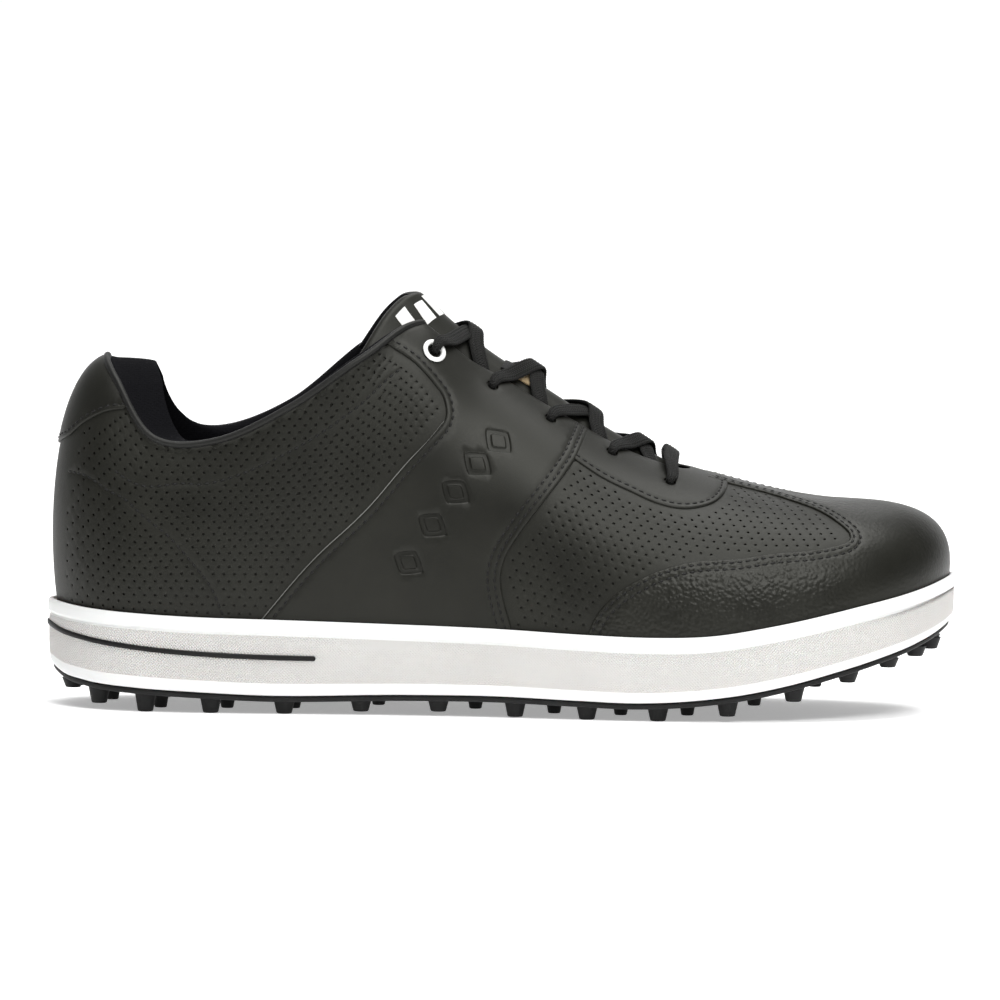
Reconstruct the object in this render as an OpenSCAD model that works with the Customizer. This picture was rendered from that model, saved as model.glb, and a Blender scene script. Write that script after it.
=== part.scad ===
// Spikeless lace-up golf shoe, right foot.
// X runs from heel to toe, -Y is the outer (lateral) side, +Z is up.
// The origin lies under the middle of the shoe, on the ground that the stud tips touch.

/* [Preview] */
// Which sub-part to draw

/* [Main sizes] */
// Overall length of the sole, heel to toe
shoe_length = 300; // [270:1:320]
// Thickness of the outer leather panels
leather_t = 1.2; // [0.8:0.1:1.2]
// Thickness of the textile lining
lining_t = 0.7; // [0.5:0.1:0.8]
// Thickness of the padding in the collar
collar_pad_t = 3.2; // [2:0.1:3.2]

/* [Sole] */
// Thickness of the rubber outsole plate
plate_t = 2.2; // [1.8:0.1:2.2]
// Radius of a stud at its root
stud_root_r = 4; // [3:0.1:4.4]
// Radius of a stud at its tip
stud_tip_r = 2.6; // [2:0.1:3]
// Thickness of the cupsole side wall
wall_t = 4; // [3:0.1:4.5]
// Thickness of the cupsole floor
floor_t = 5; // [4:0.1:6]
// Width of the painted line around the heel
stripe_w = 1.6; // [1:0.1:3]

/* [Insole] */
// Thickness of the lasting board
board_t = 1.2; // [0.8:0.1:1.2]
// Thickness of the removable foam sockliner
sock_foam_t = 4; // [3:0.1:4]
// Thickness of the cloth on the sockliner
sock_cloth_t = 0.6; // [0.4:0.1:0.8]

/* [Lacing] */
// Width of the flat lace
lace_w = 5.6; // [4:0.1:6]
// Thickness of the flat lace
lace_t = 1.2; // [0.8:0.1:1.3]
// Diameter of a punched lace hole
hole_d = 4.8; // [4.4:0.1:5.2]
// Outer diameter of the ring eyelet
ring_d = 8.2; // [7.6:0.1:9]
// Length of a lace tip
aglet_len = 18; // [10:1:22]

/* [Hidden] */

// Every drawn length is for this sole length and is scaled from it.
drawn_length = 300;
k = shoe_length / drawn_length;

// Space left between neighbouring pieces.
gap = 0.3;

// Number of stations round the sole: 0 is the toe, 16 the heel, 17 to 31 the inner side.
stations = 32;
heel_station = 16;

// Top edge of the sole seen from above, from the toe round the outer side to the heel.
outer_edge = [
    [150, 6], [147.5, -8], [140, -22], [128, -34.5], [111, -44], [90, -49.6], [66, -51.6],
    [42, -49.8], [18, -46], [-6, -41.5], [-31, -39], [-56, -38.3], [-81, -38.5],
    [-105, -38], [-127, -33], [-142.7, -20], [-149.5, 0]
];
// The same for the inner side, without the shared toe and heel points.
inner_edge = [
    [147, 20], [138.5, 32], [125, 41], [106, 47.5], [84, 51], [60, 51.3], [37, 47.5],
    [14, 41.6], [-9, 37.2], [-32, 34.5], [-56, 34], [-81, 34.8], [-105, 35], [-127, 31],
    [-142.7, 19]
];
inner_count = len(inner_edge);
edge_loop = k * concat(outer_edge, [for (i = [inner_count - 1:-1:0]) inner_edge[i]]);

// Heights of the top and bottom edges of the cupsole along the shoe.
top_line = [
    [-150, 35], [-139, 33.9], [-120, 32.8], [-100, 32], [-76, 31.5], [-40, 30.6], [0, 29.6],
    [30, 28.4], [50, 28], [70, 28.8], [90, 32], [118, 38], [142, 43.5], [150, 46]
];
bottom_line = [
    [-150, 14], [-146, 11.5], [-139, 9.9], [-121, 8.2], [-100, 7.2], [-80, 6.4], [-30, 7.2],
    [0, 7.3], [25, 6.6], [45, 6.2], [65, 7.4], [80, 9.3], [95, 12.3], [110, 16.2],
    [126, 20.8], [138, 24.8], [146, 28.5], [150, 31]
];
// Height of the stud tips along the shoe.
tip_line = [
    [-150, 9], [-144, 7.5], [-135, 2.3], [-118, 0], [-62, 0], [-40, 1.4], [-20, 1.4],
    [0, 0.4], [15, 0], [60, 0], [69, 0.7], [92, 5], [109, 10.8], [125, 16.1], [150, 24]
];

// Upper at each station from toe to heel: top point outside and inside, then how far the
// profile leaves the sole outwards and upwards and meets the top outwards and downwards.
upper_rows = [
    [[110, 3, 70.3], [110, 3, 70.3], 2, 17, 32, -1],
    [[109.3, 3, 70.3], [109.3, 3, 70.3], 2, 17, 32, -1],
    [[106.3, 3, 70.5], [106.3, 3, 70.5], 2, 18, 32, -0.5],
    [[100, 3, 71.3], [100, 3, 71.3], 2, 20, 32, 0.5],
    [[88.5, 2.5, 73.7], [88.5, 2.5, 73.7], 1.5, 21, 32, 1],
    [[75, 2, 77.3], [75, 2, 77.3], 1, 23, 32, 1],
    [[58, 1.5, 82.4], [58, 1.5, 82.4], 1, 26, 32, 1.5],
    [[38, 1, 91], [38, 1, 91], 1, 30, 34, 2],
    [[17.5, 0.5, 103.4], [17.5, 0.5, 103.4], 1, 36, 34, 2],
    [[-4, 0, 116.6], [-4, 0, 116.6], 1, 40, 33, 2],
    [[-27, -15, 129.5], [-27, 15, 129.5], 1.5, 44, 18, 12],
    [[-47, -29, 119.5], [-47, 28, 118.5], 1.5, 40, 5, 28],
    [[-70, -32, 103.5], [-70, 30, 99.5], 2, 32, 4, 26],
    [[-94, -30.5, 91.5], [-94, 28.5, 90.3], 2.5, 26, 5, 22],
    [[-115, -26.5, 91.5], [-115, 25, 96], 3, 22, 7, 22],
    [[-127, -15, 109], [-127, 14.5, 109.5], 4, 28, 13, 12],
    [[-131, 0, 116], [-131, 0, 116], 4.5, 31, 17, 5]
];
// The upper meets the sole this far inside its edge and below its rim.
feather_in = 2;
feather_down = 1;

// Depths of the layers below the outer face of the upper.
under_leather = leather_t + gap;
stiffener_t = 0.9;
stay_t = 0.6;
lining_depth = 3;
collar_foam_depth = under_leather + gap;
collar_lining_depth = collar_foam_depth + collar_pad_t + gap;
stiffener_depth = under_leather + gap;
stay_depth = under_leather + 0.1;
top_h = 0.985;

// ---- general functions ----

function unit(v) = v / norm(v);
function pick(list, i) = list[(i + len(list)) % len(list)];

// Weights of a smooth curve through four neighbours at fraction f between the middle two.
function blend4(f) = 0.5 * [
    -f + 2 * f * f - f * f * f,
    2 - 5 * f * f + 3 * f * f * f,
    f + 4 * f * f - 3 * f * f * f,
    -f * f + f * f * f
];
function around(list, p) =
    let (i = floor(p), w = blend4(p - i))
    w[0] * pick(list, i - 1) + w[1] * pick(list, i)
    + w[2] * pick(list, i + 1) + w[3] * pick(list, i + 2);

// Each span of a chain of points cut into n equal steps.
function fine(c, n) = [
    for (i = [0:len(c) - 2], j = [0:n - 1]) c[i] + (c[i + 1] - c[i]) * j / n,
    c[len(c) - 1]
];
function mirrored(c) = [for (q = c) [q[0], 2 - q[1]]];
function reversed(c) = [for (i = [len(c) - 1:-1:0]) c[i]];
// Chain across the crest and back down on the inner side.
function both_sides(c) = concat(c, [for (i = [len(c) - 2:-1:0]) [c[i][0], 2 - c[i][1]]]);
// Chain round the heel and forward on the inner side.
function round_heel(c) =
    concat(c, [for (i = [len(c) - 2:-1:0]) [2 * heel_station - c[i][0], c[i][1]]]);

// ---- sole functions ----

function edge_point(p) = around(edge_loop, p);
function edge_out(p) =
    let (d = edge_point(p + 0.05) - edge_point(p - 0.05))
    unit([-d[1], d[0]]);
function top_z(x) = k * lookup(x / k, top_line);
function bottom_z(x) = k * lookup(x / k, bottom_line);
function tip_z(x) = k * lookup(x / k, tip_line);

// Ring of points round the sole, moved inwards; high says how far up the wall it lies.
function sole_ring(inset, high, lift, steps = 64) = [
    for (i = [0:steps - 1])
        let (
            p = i * stations / steps,
            e = edge_point(p),
            q = e - edge_out(p) * inset,
            z = high * top_z(e[0]) + (1 - high) * bottom_z(e[0])
        )
        [q[0], q[1], z + lift]
];

// ---- upper functions ----

function upper_station(i) =
    let (
        outer = i <= heel_station,
        row = upper_rows[outer ? i : stations - i],
        top = k * (outer ? row[0] : row[1]),
        e = edge_point(i),
        o = edge_out(i),
        n = [o[0], o[1], 0],
        foot = [e[0], e[1], top_z(e[0]) - feather_down] - n * feather_in
    )
    [
        foot,
        foot + k * (n * row[2] + [0, 0, row[3]]),
        top + k * (n * row[4] - [0, 0, row[5]]),
        top
    ];
upper_table = [for (i = [0:stations - 1]) upper_station(i)];

// Point on the upper at station p and height fraction h; h above 1 is the inner side.
function upper(p, h) =
    let (
        q = h > 1 ? stations - p : p,
        t = h > 1 ? 2 - h : h,
        s = 1 - t
    )
    [s * s * s, 3 * s * s * t, 3 * s * t * t, t * t * t] * around(upper_table, q);

function outward(f, a, b) =
    let (
        e = 0.04,
        da = f(a + e, b) - f(a - e, b),
        db = f(a, b + e) - f(a, b - e)
    )
    unit(cross(db, da));
// The stations meet at the toe, so the direction is taken a little behind it.
function upper_out(p, h) = outward(
    function (a, b) upper(a, b),
    abs(h - 1) < 0.2 ? max(p, 0.3) : p,
    p < 9.6 || abs(h - 1) > 0.03 ? h : h < 1 ? 0.97 : 1.03
);
function on_upper(p, h, depth) = upper(p, h) - upper_out(p, h) * depth;

// ---- tongue functions ----

// Middle line of the tongue seen from the side, front to top.
tongue_line = [
    [68, 77.2], [60, 79.6], [50, 84.8], [38, 91.2], [28, 97.2], [17.5, 104],
    [3.5, 112.9], [-7, 120], [-17, 128], [-24, 134.3], [-28.4, 138.2]
];
tongue_last = len(tongue_line) - 1;
// Half section of the tongue: sideways, then the drop at its front and at its top.
tongue_side = [
    [0, 0], [0.2, 4], [0.35, 7], [0.5, 9.5], [0.65, 12.5], [0.8, 15.5], [0.92, 18], [1, 19.5]
];
tongue_drop_front = [
    [0, 0], [0.2, 1], [0.35, 3.2], [0.5, 7], [0.65, 10.6], [0.8, 13.4], [0.92, 15.6], [1, 17.2]
];
tongue_drop_top = [
    [0, 0], [0.2, 1], [0.35, 3.2], [0.5, 7.6], [0.65, 12.4], [0.8, 18], [0.92, 23.5], [1, 28]
];
// The tongue widens above this place on its line, and its top corners stand up by this much.
tongue_flare_from = 5;
tongue_ear = [[0, 0], [0.2, 1.2], [0.4, 3], [0.6, 3.6], [0.8, 3], [1, 1.5]];

function tongue_mid(u) =
    let (
        i = min(max(floor(u), 0), tongue_last - 1),
        f = u - i,
        a = tongue_line[i],
        b = tongue_line[i + 1]
    )
    k * (a + (b - a) * f);
function tongue(u, v) =
    let (
        c = tongue_mid(u),
        t = unit(tongue_mid(min(u + 0.6, tongue_last)) - tongue_mid(max(u - 0.6, 0))),
        w = max(0, u - tongue_flare_from) / (tongue_last - tongue_flare_from),
        q = min(abs(v), 1),
        drop = lookup(q, tongue_drop_front) * (1 - w) + lookup(q, tongue_drop_top) * w,
        ear = lookup(q, tongue_ear) * w
    )
    [
        c[0] + (t[0] * ear - t[1] * drop) * k,
        sign(v) * lookup(q, tongue_side) * k,
        c[1] + (t[1] * ear + t[0] * drop) * k
    ];
function tongue_out(u, v) =
    outward(function (a, b) tongue(a, b), u, max(min(v, 0.95), -0.95));
function on_tongue(u, v, depth) = tongue(u, v) - tongue_out(u, v) * depth;

// ---- solid builders ----

// Solid between stacked rings of equal size, closed by strips from side to side.
module ring_solid(rings) {
    n = len(rings[0]);
    last = len(rings) - 1;
    points = [for (r = rings, q = r) q];
    half = n / 2;
    cap = [
        for (i = [0:half - 1])
            let (a = i, b = i + 1, c = n - i - 1, d = (n - i) % n)
            each (i == 0 ? [[a, b, c]] : i == half - 1 ? [[a, b, d]] : [[a, b, c, d]])
    ];
    sides = [
        for (r = [0:last - 1], i = [0:n - 1])
            let (j = (i + 1) % n)
            [r * n + i, r * n + j, (r + 1) * n + j, (r + 1) * n + i]
    ];
    bottom = [for (f = cap) reversed([for (i = f) i + last * n])];
    polyhedron(points, concat([for (f = sides) reversed(f)], cap, bottom));
}

// Curved sheet of grid points with a thickness; shown(i, j) tells which cells exist.
// A folded sheet closes on itself along its first row, at the very toe.
module sheet_solid(outer, inner, shown, folded = false) {
    rows = len(outer) - 1;
    cols = len(outer[0]) - 1;
    count = (rows + 1) * (cols + 1);
    points = concat([for (r = outer, q = r) q], [for (r = inner, q = r) q]);
    function id(i, j) = (folded && i == 0 && j > cols / 2) ? cols - j : i * (cols + 1) + j;
    function has(i, j) = i < rows && j >= 0 && j < cols && i >= 0 && shown(i, j);
    function wall(a, b) = [b, a, a + count, b + count];
    faces = [
        for (i = [0:rows - 1], j = [0:cols - 1])
            if (shown(i, j))
                let (
                    a = id(i, j),
                    b = id(i, j + 1),
                    c = id(i + 1, j + 1),
                    d = id(i + 1, j)
                )
                each concat(
                    [[a, c, b], [a, d, c]],
                    [[a + count, b + count, c + count], [a + count, c + count, d + count]],
                    has(i - 1, j) || (folded && i == 0) ? [] : [wall(b, a)],
                    has(i + 1, j) ? [] : [wall(d, c)],
                    has(i, j - 1) ? [] : [wall(a, d)],
                    has(i, j + 1) ? [] : [wall(c, b)]
                )
    ];
    polyhedron(points, faces);
}

// Grid of [p, h] pairs between two chains of equal length.
function ruled(a, b, m) = [
    for (i = [0:len(a) - 1]) [for (j = [0:m]) a[i] + (b[i] - a[i]) * j / m]
];
// A grid is turned round when its rows would face inwards.
function grid_turn(g) =
    let (
        i = floor(len(g) / 2),
        j = floor(len(g[0]) / 2),
        a = g[i][j] - g[i - 1][j],
        b = g[i][j] - g[i][j - 1]
    )
    a[0] * b[1] - a[1] * b[0];
function placed(g, depth) = [for (r = g) [for (q = r) on_upper(q[0], q[1], depth)]];

module panel_grid(g, from, to, shown, folded = false) {
    ok = grid_turn(g) > 0;
    h = ok ? g : [for (r = g) reversed(r)];
    sheet_solid(placed(h, from), placed(h, to), shown, folded);
}
module panel(a, b, m, from, to) {
    panel_grid(ruled(a, b, m), from, to, function (i, j) true);
}
module tongue_layer(g, from, to) {
    outer = [for (r = g) [for (q = r) on_tongue(q[0], q[1], from)]];
    inner = [for (r = g) [for (q = r) on_tongue(q[0], q[1], to)]];
    sheet_solid(outer, inner, function (i, j) true);
}

// Bar with an eight-sided section swept along points; ref sets the width direction.
module swept(path, refs, half_w, half_t) {
    n = len(path);
    shape = [
        [1, 0.45], [0.7, 1], [-0.7, 1], [-1, 0.45],
        [-1, -0.45], [-0.7, -1], [0.7, -1], [1, -0.45]
    ];
    sides = len(shape);
    points = [
        for (i = [0:n - 1])
            let (
                t = unit(path[min(i + 1, n - 1)] - path[max(i - 1, 0)]),
                s = unit(refs[i] - t * (refs[i] * t)),
                u = cross(s, t)
            )
            for (q = shape) path[i] + s * q[0] * half_w[i] + u * q[1] * half_t[i]
    ];
    skin = [
        for (i = [0:n - 2], j = [0:sides - 1])
            let (l = (j + 1) % sides)
            [i * sides + j, i * sides + l, (i + 1) * sides + l, (i + 1) * sides + j]
    ];
    start = reversed([for (j = [0:sides - 1]) j]);
    end = [for (j = [0:sides - 1]) (n - 1) * sides + j];
    polyhedron(points, concat(skin, [start, end]));
}

// Puts its children on the upper with their Z pointing out of it.
module at_upper(p, h) {
    z = upper_out(p, h);
    x = unit(cross([0, 1, 0], z));
    y = cross(z, x);
    o = upper(p, h);
    multmatrix([
        [x[0], y[0], z[0], o[0]],
        [x[1], y[1], z[1], o[1]],
        [x[2], y[2], z[2], o[2]],
        [0, 0, 0, 1]
    ])
        children();
}

// ---- sole ----

// Height of the ledge inside the rim on which the upper and the wedge's top lie.
ledge_down = 1.4;
sole_inset = 2;

// Rows of studs: [inset from the sole edge, first station, last station, count].
stud_rows = [[7.5, 0.6, 15.6, 16], [7.5, 16.6, 31.4, 15]];
// Inner studs: [x, y].
inner_studs = [
    [-128, 0], [-112, -13], [-112, 13], [-90, -12], [-90, 12], [-68, -10], [-68, 10],
    [-40, -10], [-40, 10], [-8, -13], [-8, 11], [18, -18], [18, 0], [18, 18],
    [40, -22], [40, 0], [40, 22], [62, -22], [62, 0], [62, 22], [84, -20], [84, 0],
    [84, 22], [104, -10], [104, 12], [122, 4]
];
inner_stud_scale = 0.8;

module stud(x, y, s) {
    tip = tip_z(x);
    root = bottom_z(x) - plate_t + 1;
    translate([x, y, tip])
        cylinder(h = root - tip, r1 = stud_tip_r * s, r2 = stud_root_r * s, $fn = 20);
}

module outsole() {
    color([0.09, 0.09, 0.09]) {
        ring_solid([
            sole_ring(sole_inset + 0.6, 0, -gap),
            sole_ring(sole_inset, 0, -gap - 0.4),
            sole_ring(sole_inset + 0.8, 0, -plate_t)
        ]);
        for (r = stud_rows, i = [0:r[3] - 1])
            let (
                p = r[1] + (r[2] - r[1]) * i / (r[3] - 1),
                q = edge_point(p) - edge_out(p) * r[0]
            )
            stud(q[0], q[1], 1);
        for (q = inner_studs)
            stud(q[0] * k, q[1] * k, inner_stud_scale);
    }
}

module midsole() {
    color([0.95, 0.95, 0.93])
        ring_solid([
            sole_ring(wall_t, 0, floor_t),
            sole_ring(wall_t, 1, -ledge_down),
            sole_ring(feather_in - 0.2, 1, -ledge_down),
            sole_ring(feather_in - 0.4, 1, 0),
            sole_ring(0.3, 1, 0),
            sole_ring(0, 0.9, 0),
            sole_ring(0.2, 0.4, 0),
            sole_ring(0.8, 0.12, 0),
            sole_ring(sole_inset, 0, 0)
        ]);
}

// Painted line on the wall, from the outer side round the heel.
stripe_from = 11.2;
stripe_to = 20.8;
stripe_high = [[11, 0.5], [13, 0.52], [15, 0.6], [16, 0.63], [17, 0.6], [19, 0.52], [21, 0.5]];
stripe_t = 0.4;
module heel_stripe() {
    steps = 40;
    function at(p, up, out) =
        let (
            e = edge_point(p),
            f = lookup(p, stripe_high),
            o = edge_out(p),
            z = f * top_z(e[0]) + (1 - f) * bottom_z(e[0]) + up
        )
        [e[0] + o[0] * out, e[1] + o[1] * out, z];
    ps = [for (i = [0:steps]) stripe_from + (stripe_to - stripe_from) * i / steps];
    outer = [for (p = ps) [at(p, -stripe_w / 2, 0.1 + stripe_t), at(p, stripe_w / 2, 0.1 + stripe_t)]];
    inner = [for (p = ps) [at(p, -stripe_w / 2, 0.1), at(p, stripe_w / 2, 0.1)]];
    color([0.08, 0.08, 0.08])
        sheet_solid(outer, inner, function (i, j) true);
}

// Stiffening strip let into the wedge under the arch.
shank_size = [96, 16, 1.2];
shank_x = -34;
shank_z = 28.2;
shank_tilt = 1.3;
module shank_block(grow) {
    size = shank_size + [1, 1, 1] * grow * 2;
    translate([shank_x, 0, shank_z] * k)
        rotate([0, shank_tilt, 0])
            translate(-size / 2)
                cube(size);
}
module eva_wedge() {
    color([0.8, 0.8, 0.78])
        difference() {
            ring_solid([
                sole_ring(wall_t + gap, 1, -ledge_down),
                sole_ring(wall_t + gap, 0, floor_t + gap)
            ]);
            shank_block(gap);
        }
}
module shank() {
    color([0.6, 0.62, 0.65])
        shank_block(0);
}

board_inset = 6.4;
board_up = gap - ledge_down;
sock_up = board_up + board_t + gap;
module lasting_board() {
    color([0.62, 0.5, 0.36])
        ring_solid([
            sole_ring(board_inset, 1, board_up + board_t),
            sole_ring(board_inset, 1, board_up)
        ]);
}
module sockliner_foam() {
    color([0.3, 0.3, 0.32])
        ring_solid([
            sole_ring(board_inset + 0.4, 1, sock_up + sock_foam_t),
            sole_ring(board_inset + 0.4, 1, sock_up)
        ]);
}
module sockliner_cloth() {
    up = sock_up + sock_foam_t + gap;
    color([0.12, 0.12, 0.13])
        ring_solid([
            sole_ring(board_inset + 0.6, 1, up + sock_cloth_t),
            sole_ring(board_inset + 0.6, 1, up)
        ]);
}

// ---- panel outlines, as chains of [station, height fraction] on the outer side ----

// Toe guard: lower and upper edges of the seam behind the toe.
guard_low = [
    [0, 0.4], [3.4, 0.48], [3.65, 0.41], [4.23, 0.385], [5.4, 0.355], [5.93, 0.34], [6.35, 0.3],
    [6.75, 0.24], [7.18, 0.155], [7.45, 0.075], [7.58, 0.02]
];
guard_high = [
    [0, 0.6], [3.4, 0.53], [3.5, 0.59], [3.6, 0.7], [3.83, 0.785], [4.35, 0.87], [5.1, 0.885]
];
guard_rows = [
    0, 0.5, 1, 1.5, 2, 2.5, 3, 3.4, 3.5, 3.65, 3.85, 4.1, 4.35, 4.7, 5.06,
    5.4, 5.7, 6, 6.35, 6.75, 7, 7.2, 7.4, 7.55
];
guard_tip_row = 7;
guard_strip_row = 14;
guard_cols = 4;

// Vamp: lower edge, then upper edge along the guard, the eyestay and the saddle.
vamp_low = [
    [3.46, 0.49], [3.6, 0.435], [3.75, 0.41], [4.1, 0.395], [4.6, 0.385], [5, 0.375],
    [5.4, 0.362], [5.8, 0.35], [6.1, 0.33], [6.4, 0.3], [6.8, 0.235], [7.1, 0.175],
    [7.36, 0.105], [7.6, 0.03], [7.9, 0.01], [8.3, 0.01]
];
vamp_high = [
    [3.46, 0.525], [3.56, 0.62], [3.8, 0.765], [4.35, 0.862], [5.05, 0.877], [5.22, 0.77],
    [5.45, 0.66], [5.8, 0.6], [6.12, 0.57], [6.8, 0.592], [7.54, 0.625], [8.05, 0.41],
    [8.5, 0.26], [8.68, 0.19], [8.7, 0.12], [8.57, 0.01]
];

// Front eyestay: outer edge, then the edge of the throat.
eyestay_out = [
    [7.57, 0.655], [7.2, 0.627], [6.8, 0.612], [6.45, 0.592], [6.12, 0.592], [5.8, 0.622],
    [5.5, 0.682], [5.28, 0.775], [5.14, 0.885], [5.1, 1]
];
eyestay_in = [
    [7.36, 0.89], [7.15, 0.888], [6.9, 0.886], [6.65, 0.886], [6.4, 0.888], [6.2, 0.893],
    [6, 0.905], [5.88, 0.925], [5.8, 0.955], [5.76, 1]
];

// Saddle: front and top edge, then bottom and rear edge.
saddle_front = [
    [8.62, 0.01], [8.76, 0.12], [8.72, 0.2], [8.5, 0.285], [8.1, 0.42], [7.8, 0.54],
    [7.58, 0.66], [7.4, 0.89], [8, 0.875], [8.7, 0.867], [9.3, 0.87], [9.7, 0.925], [9.95, 0.985]
];
saddle_rear = [
    [11.95, 0.01], [11.6, 0.11], [11.23, 0.22], [10.84, 0.29], [10.45, 0.365], [10.15, 0.42],
    [9.85, 0.48], [9.56, 0.565], [9.58, 0.64], [9.75, 0.69], [9.98, 0.75], [10.28, 0.845],
    [10.62, 0.975]
];

// Quarter: edge along the saddle, then the heel seam and the edge along the heel tab.
quarter_front = [
    [12.02, 0.01], [11.28, 0.22], [10.5, 0.37], [9.9, 0.487], [9.62, 0.565], [9.63, 0.64],
    [9.8, 0.683], [10.34, 0.835], [10.7, 0.985]
];
quarter_back = [
    [15.98, 0.01], [15.98, 0.13], [15.98, 0.25], [15.98, 0.37], [15.98, 0.49], [15.55, 0.55],
    [15.2, 0.665], [14.9, 0.79], [14.58, 0.985]
];

tab_low = [[14.64, 0.95], [14.92, 0.81], [15.22, 0.69], [15.55, 0.575], [16, 0.515]];
tab_high = [[14.66, top_h], [14.95, top_h], [15.3, top_h], [15.65, top_h], [16, top_h]];

leather = [0.11, 0.11, 0.11];
smooth_leather = [0.14, 0.14, 0.14];
textile = [0.07, 0.07, 0.08];

// ---- upper, outer layer ----

module toe_guard() {
    function row(p) =
        let (
            low = lookup(p, guard_low),
            high = lookup(p, guard_high),
            side = concat(
                [for (j = [0:guard_cols - 1]) 0.01 + (low - 0.01) * j / guard_cols],
                [for (j = [0:guard_cols - 1]) low + (high - low) * j / guard_cols],
                [for (j = [0:guard_cols]) high + (1 - high) * j / guard_cols]
            )
        )
        both_sides([for (h = side) [p, h]]);
    g = [for (p = guard_rows) row(p)];
    total = len(g[0]) - 1;
    kept = function (i, j)
        let (c = min(j, total - 1 - j))
        i < guard_tip_row || c < guard_cols || (c >= 2 * guard_cols && i < guard_strip_row);
    color(leather)
        panel_grid(g, 0, leather_t, kept, true);
}

vamp_steps = 6;
module vamp_lateral() {
    color(leather)
        panel(fine(vamp_low, 2), fine(vamp_high, 2), vamp_steps, 0, leather_t);
}
module vamp_medial() {
    color(leather)
        panel(fine(mirrored(vamp_low), 2), fine(mirrored(vamp_high), 2), vamp_steps, 0, leather_t);
}

// Lace holes from the front row to the top row: [station, height fraction].
holes = [[6.18, 0.745], [7.03, 0.805], [7.98, 0.795], [8.88, 0.785], [9.78, 0.82]];
top_hole = len(holes) - 1;
barrel_d = 6.2;
function hole_size(i) = i == top_hole ? barrel_d + 2 * gap : hole_d;
function other_side(q) = [q[0], 2 - q[1]];

module lace_holes(rows, inner_side) {
    for (i = rows)
        let (q = inner_side ? other_side(holes[i]) : holes[i])
        at_upper(q[0], q[1])
            translate([0, 0, -4])
                cylinder(h = 6, d = hole_size(i), $fn = 24);
}

module eyestay_front() {
    color(smooth_leather)
        difference() {
            panel(both_sides(fine(eyestay_out, 2)), both_sides(fine(eyestay_in, 2)), 5, 0, leather_t);
            lace_holes([0, 1], false);
            lace_holes([0, 1], true);
        }
}
saddle_steps = 12;
module saddle_lateral() {
    color(smooth_leather)
        difference() {
            panel(fine(saddle_front, 2), fine(saddle_rear, 2), saddle_steps, 0, leather_t);
            lace_holes([2, 3, 4], false);
        }
}
module saddle_medial() {
    color(smooth_leather)
        difference() {
            panel(
                fine(mirrored(saddle_front), 2), fine(mirrored(saddle_rear), 2),
                saddle_steps, 0, leather_t
            );
            lace_holes([2, 3, 4], true);
        }
}

quarter_steps = 14;
module quarter_lateral() {
    color(leather)
        panel(fine(quarter_front, 2), fine(quarter_back, 2), quarter_steps, 0, leather_t);
}
module quarter_medial() {
    color(leather)
        panel(
            fine(mirrored(quarter_front), 2), fine(mirrored(quarter_back), 2),
            quarter_steps, 0, leather_t
        );
}
module heel_tab() {
    color(smooth_leather)
        panel(round_heel(fine(tab_low, 3)), round_heel(fine(tab_high, 3)), 6, 0, leather_t);
}

// ---- upper, inner layers ----

collar_from = 10.3;
collar_to = stations - collar_from;
binding_r = 1.3;
binding_steps = 40;
// Evenly spaced chain at one height.
function level(from, to, h, n) = [for (i = [0:n]) [from + (to - from) * i / n, h]];
// Chain round the heel at one height, with closer points where the heel curves most.
heel_from = 13.6;
function heel_level(from, h) =
    round_heel(concat(level(from, heel_from, h, 9), level(heel_from + 0.3, heel_station, h, 8)));

module collar_binding() {
    ps = [for (i = [0:binding_steps]) collar_from + (collar_to - collar_from) * i / binding_steps];
    lift = binding_r + 1.8;
    path = [
        for (p = ps)
            let (up = unit(upper(p, 0.98) - upper(p, 0.94)))
            on_upper(p, top_h, binding_r + 0.4) + up * lift
    ];
    refs = [for (p = ps) upper_out(p, 0.96)];
    r = [for (p = ps) binding_r];
    color(textile)
        swept(path, refs, r, r);
}
// The padding is thicker round the heel: how far it stands forward into the shoe there.
heel_pad = [[10.3, 0], [12, 0.3], [13.2, 4.5], [14.2, 9.5], [15, 12.5], [16, 13]];
heel_pad_rise = [[0.68, 0], [0.76, 0.5], [0.86, 1], [1, 1]];
heel_pad_lift = 0.15;
function heel_push(p, h) =
    lookup(min(p, stations - p), heel_pad) * lookup(h, heel_pad_rise) * [1, 0, heel_pad_lift];
function padded(g, depth, share) =
    [for (r = g) [for (q = r) on_upper(q[0], q[1], depth) + share * heel_push(q[0], q[1])]];
// Layer of the collar's padding; share tells how much of the push its outer face takes.
module collar_layer(low, high, m, from, to, share) {
    g = ruled(heel_level(collar_from, low), heel_level(collar_from, high), m);
    h = grid_turn(g) > 0 ? g : [for (r = g) reversed(r)];
    sheet_solid(padded(h, from, share), padded(h, to, 1), function (i, j) true);
}
module collar_foam() {
    color([0.75, 0.73, 0.6])
        collar_layer(0.73, 0.95, 4, collar_foam_depth, collar_lining_depth - gap, 0);
}
module collar_lining() {
    color(textile)
        collar_layer(0.68, 0.96, 5, collar_lining_depth, collar_lining_depth + lining_t, 1);
}
counter_from = 12.7;
module heel_counter() {
    color([0.85, 0.85, 0.8])
        panel(
            heel_level(counter_from, 0.02), heel_level(counter_from, 0.56),
            5, stiffener_depth, stiffener_depth + stiffener_t
        );
}

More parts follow.
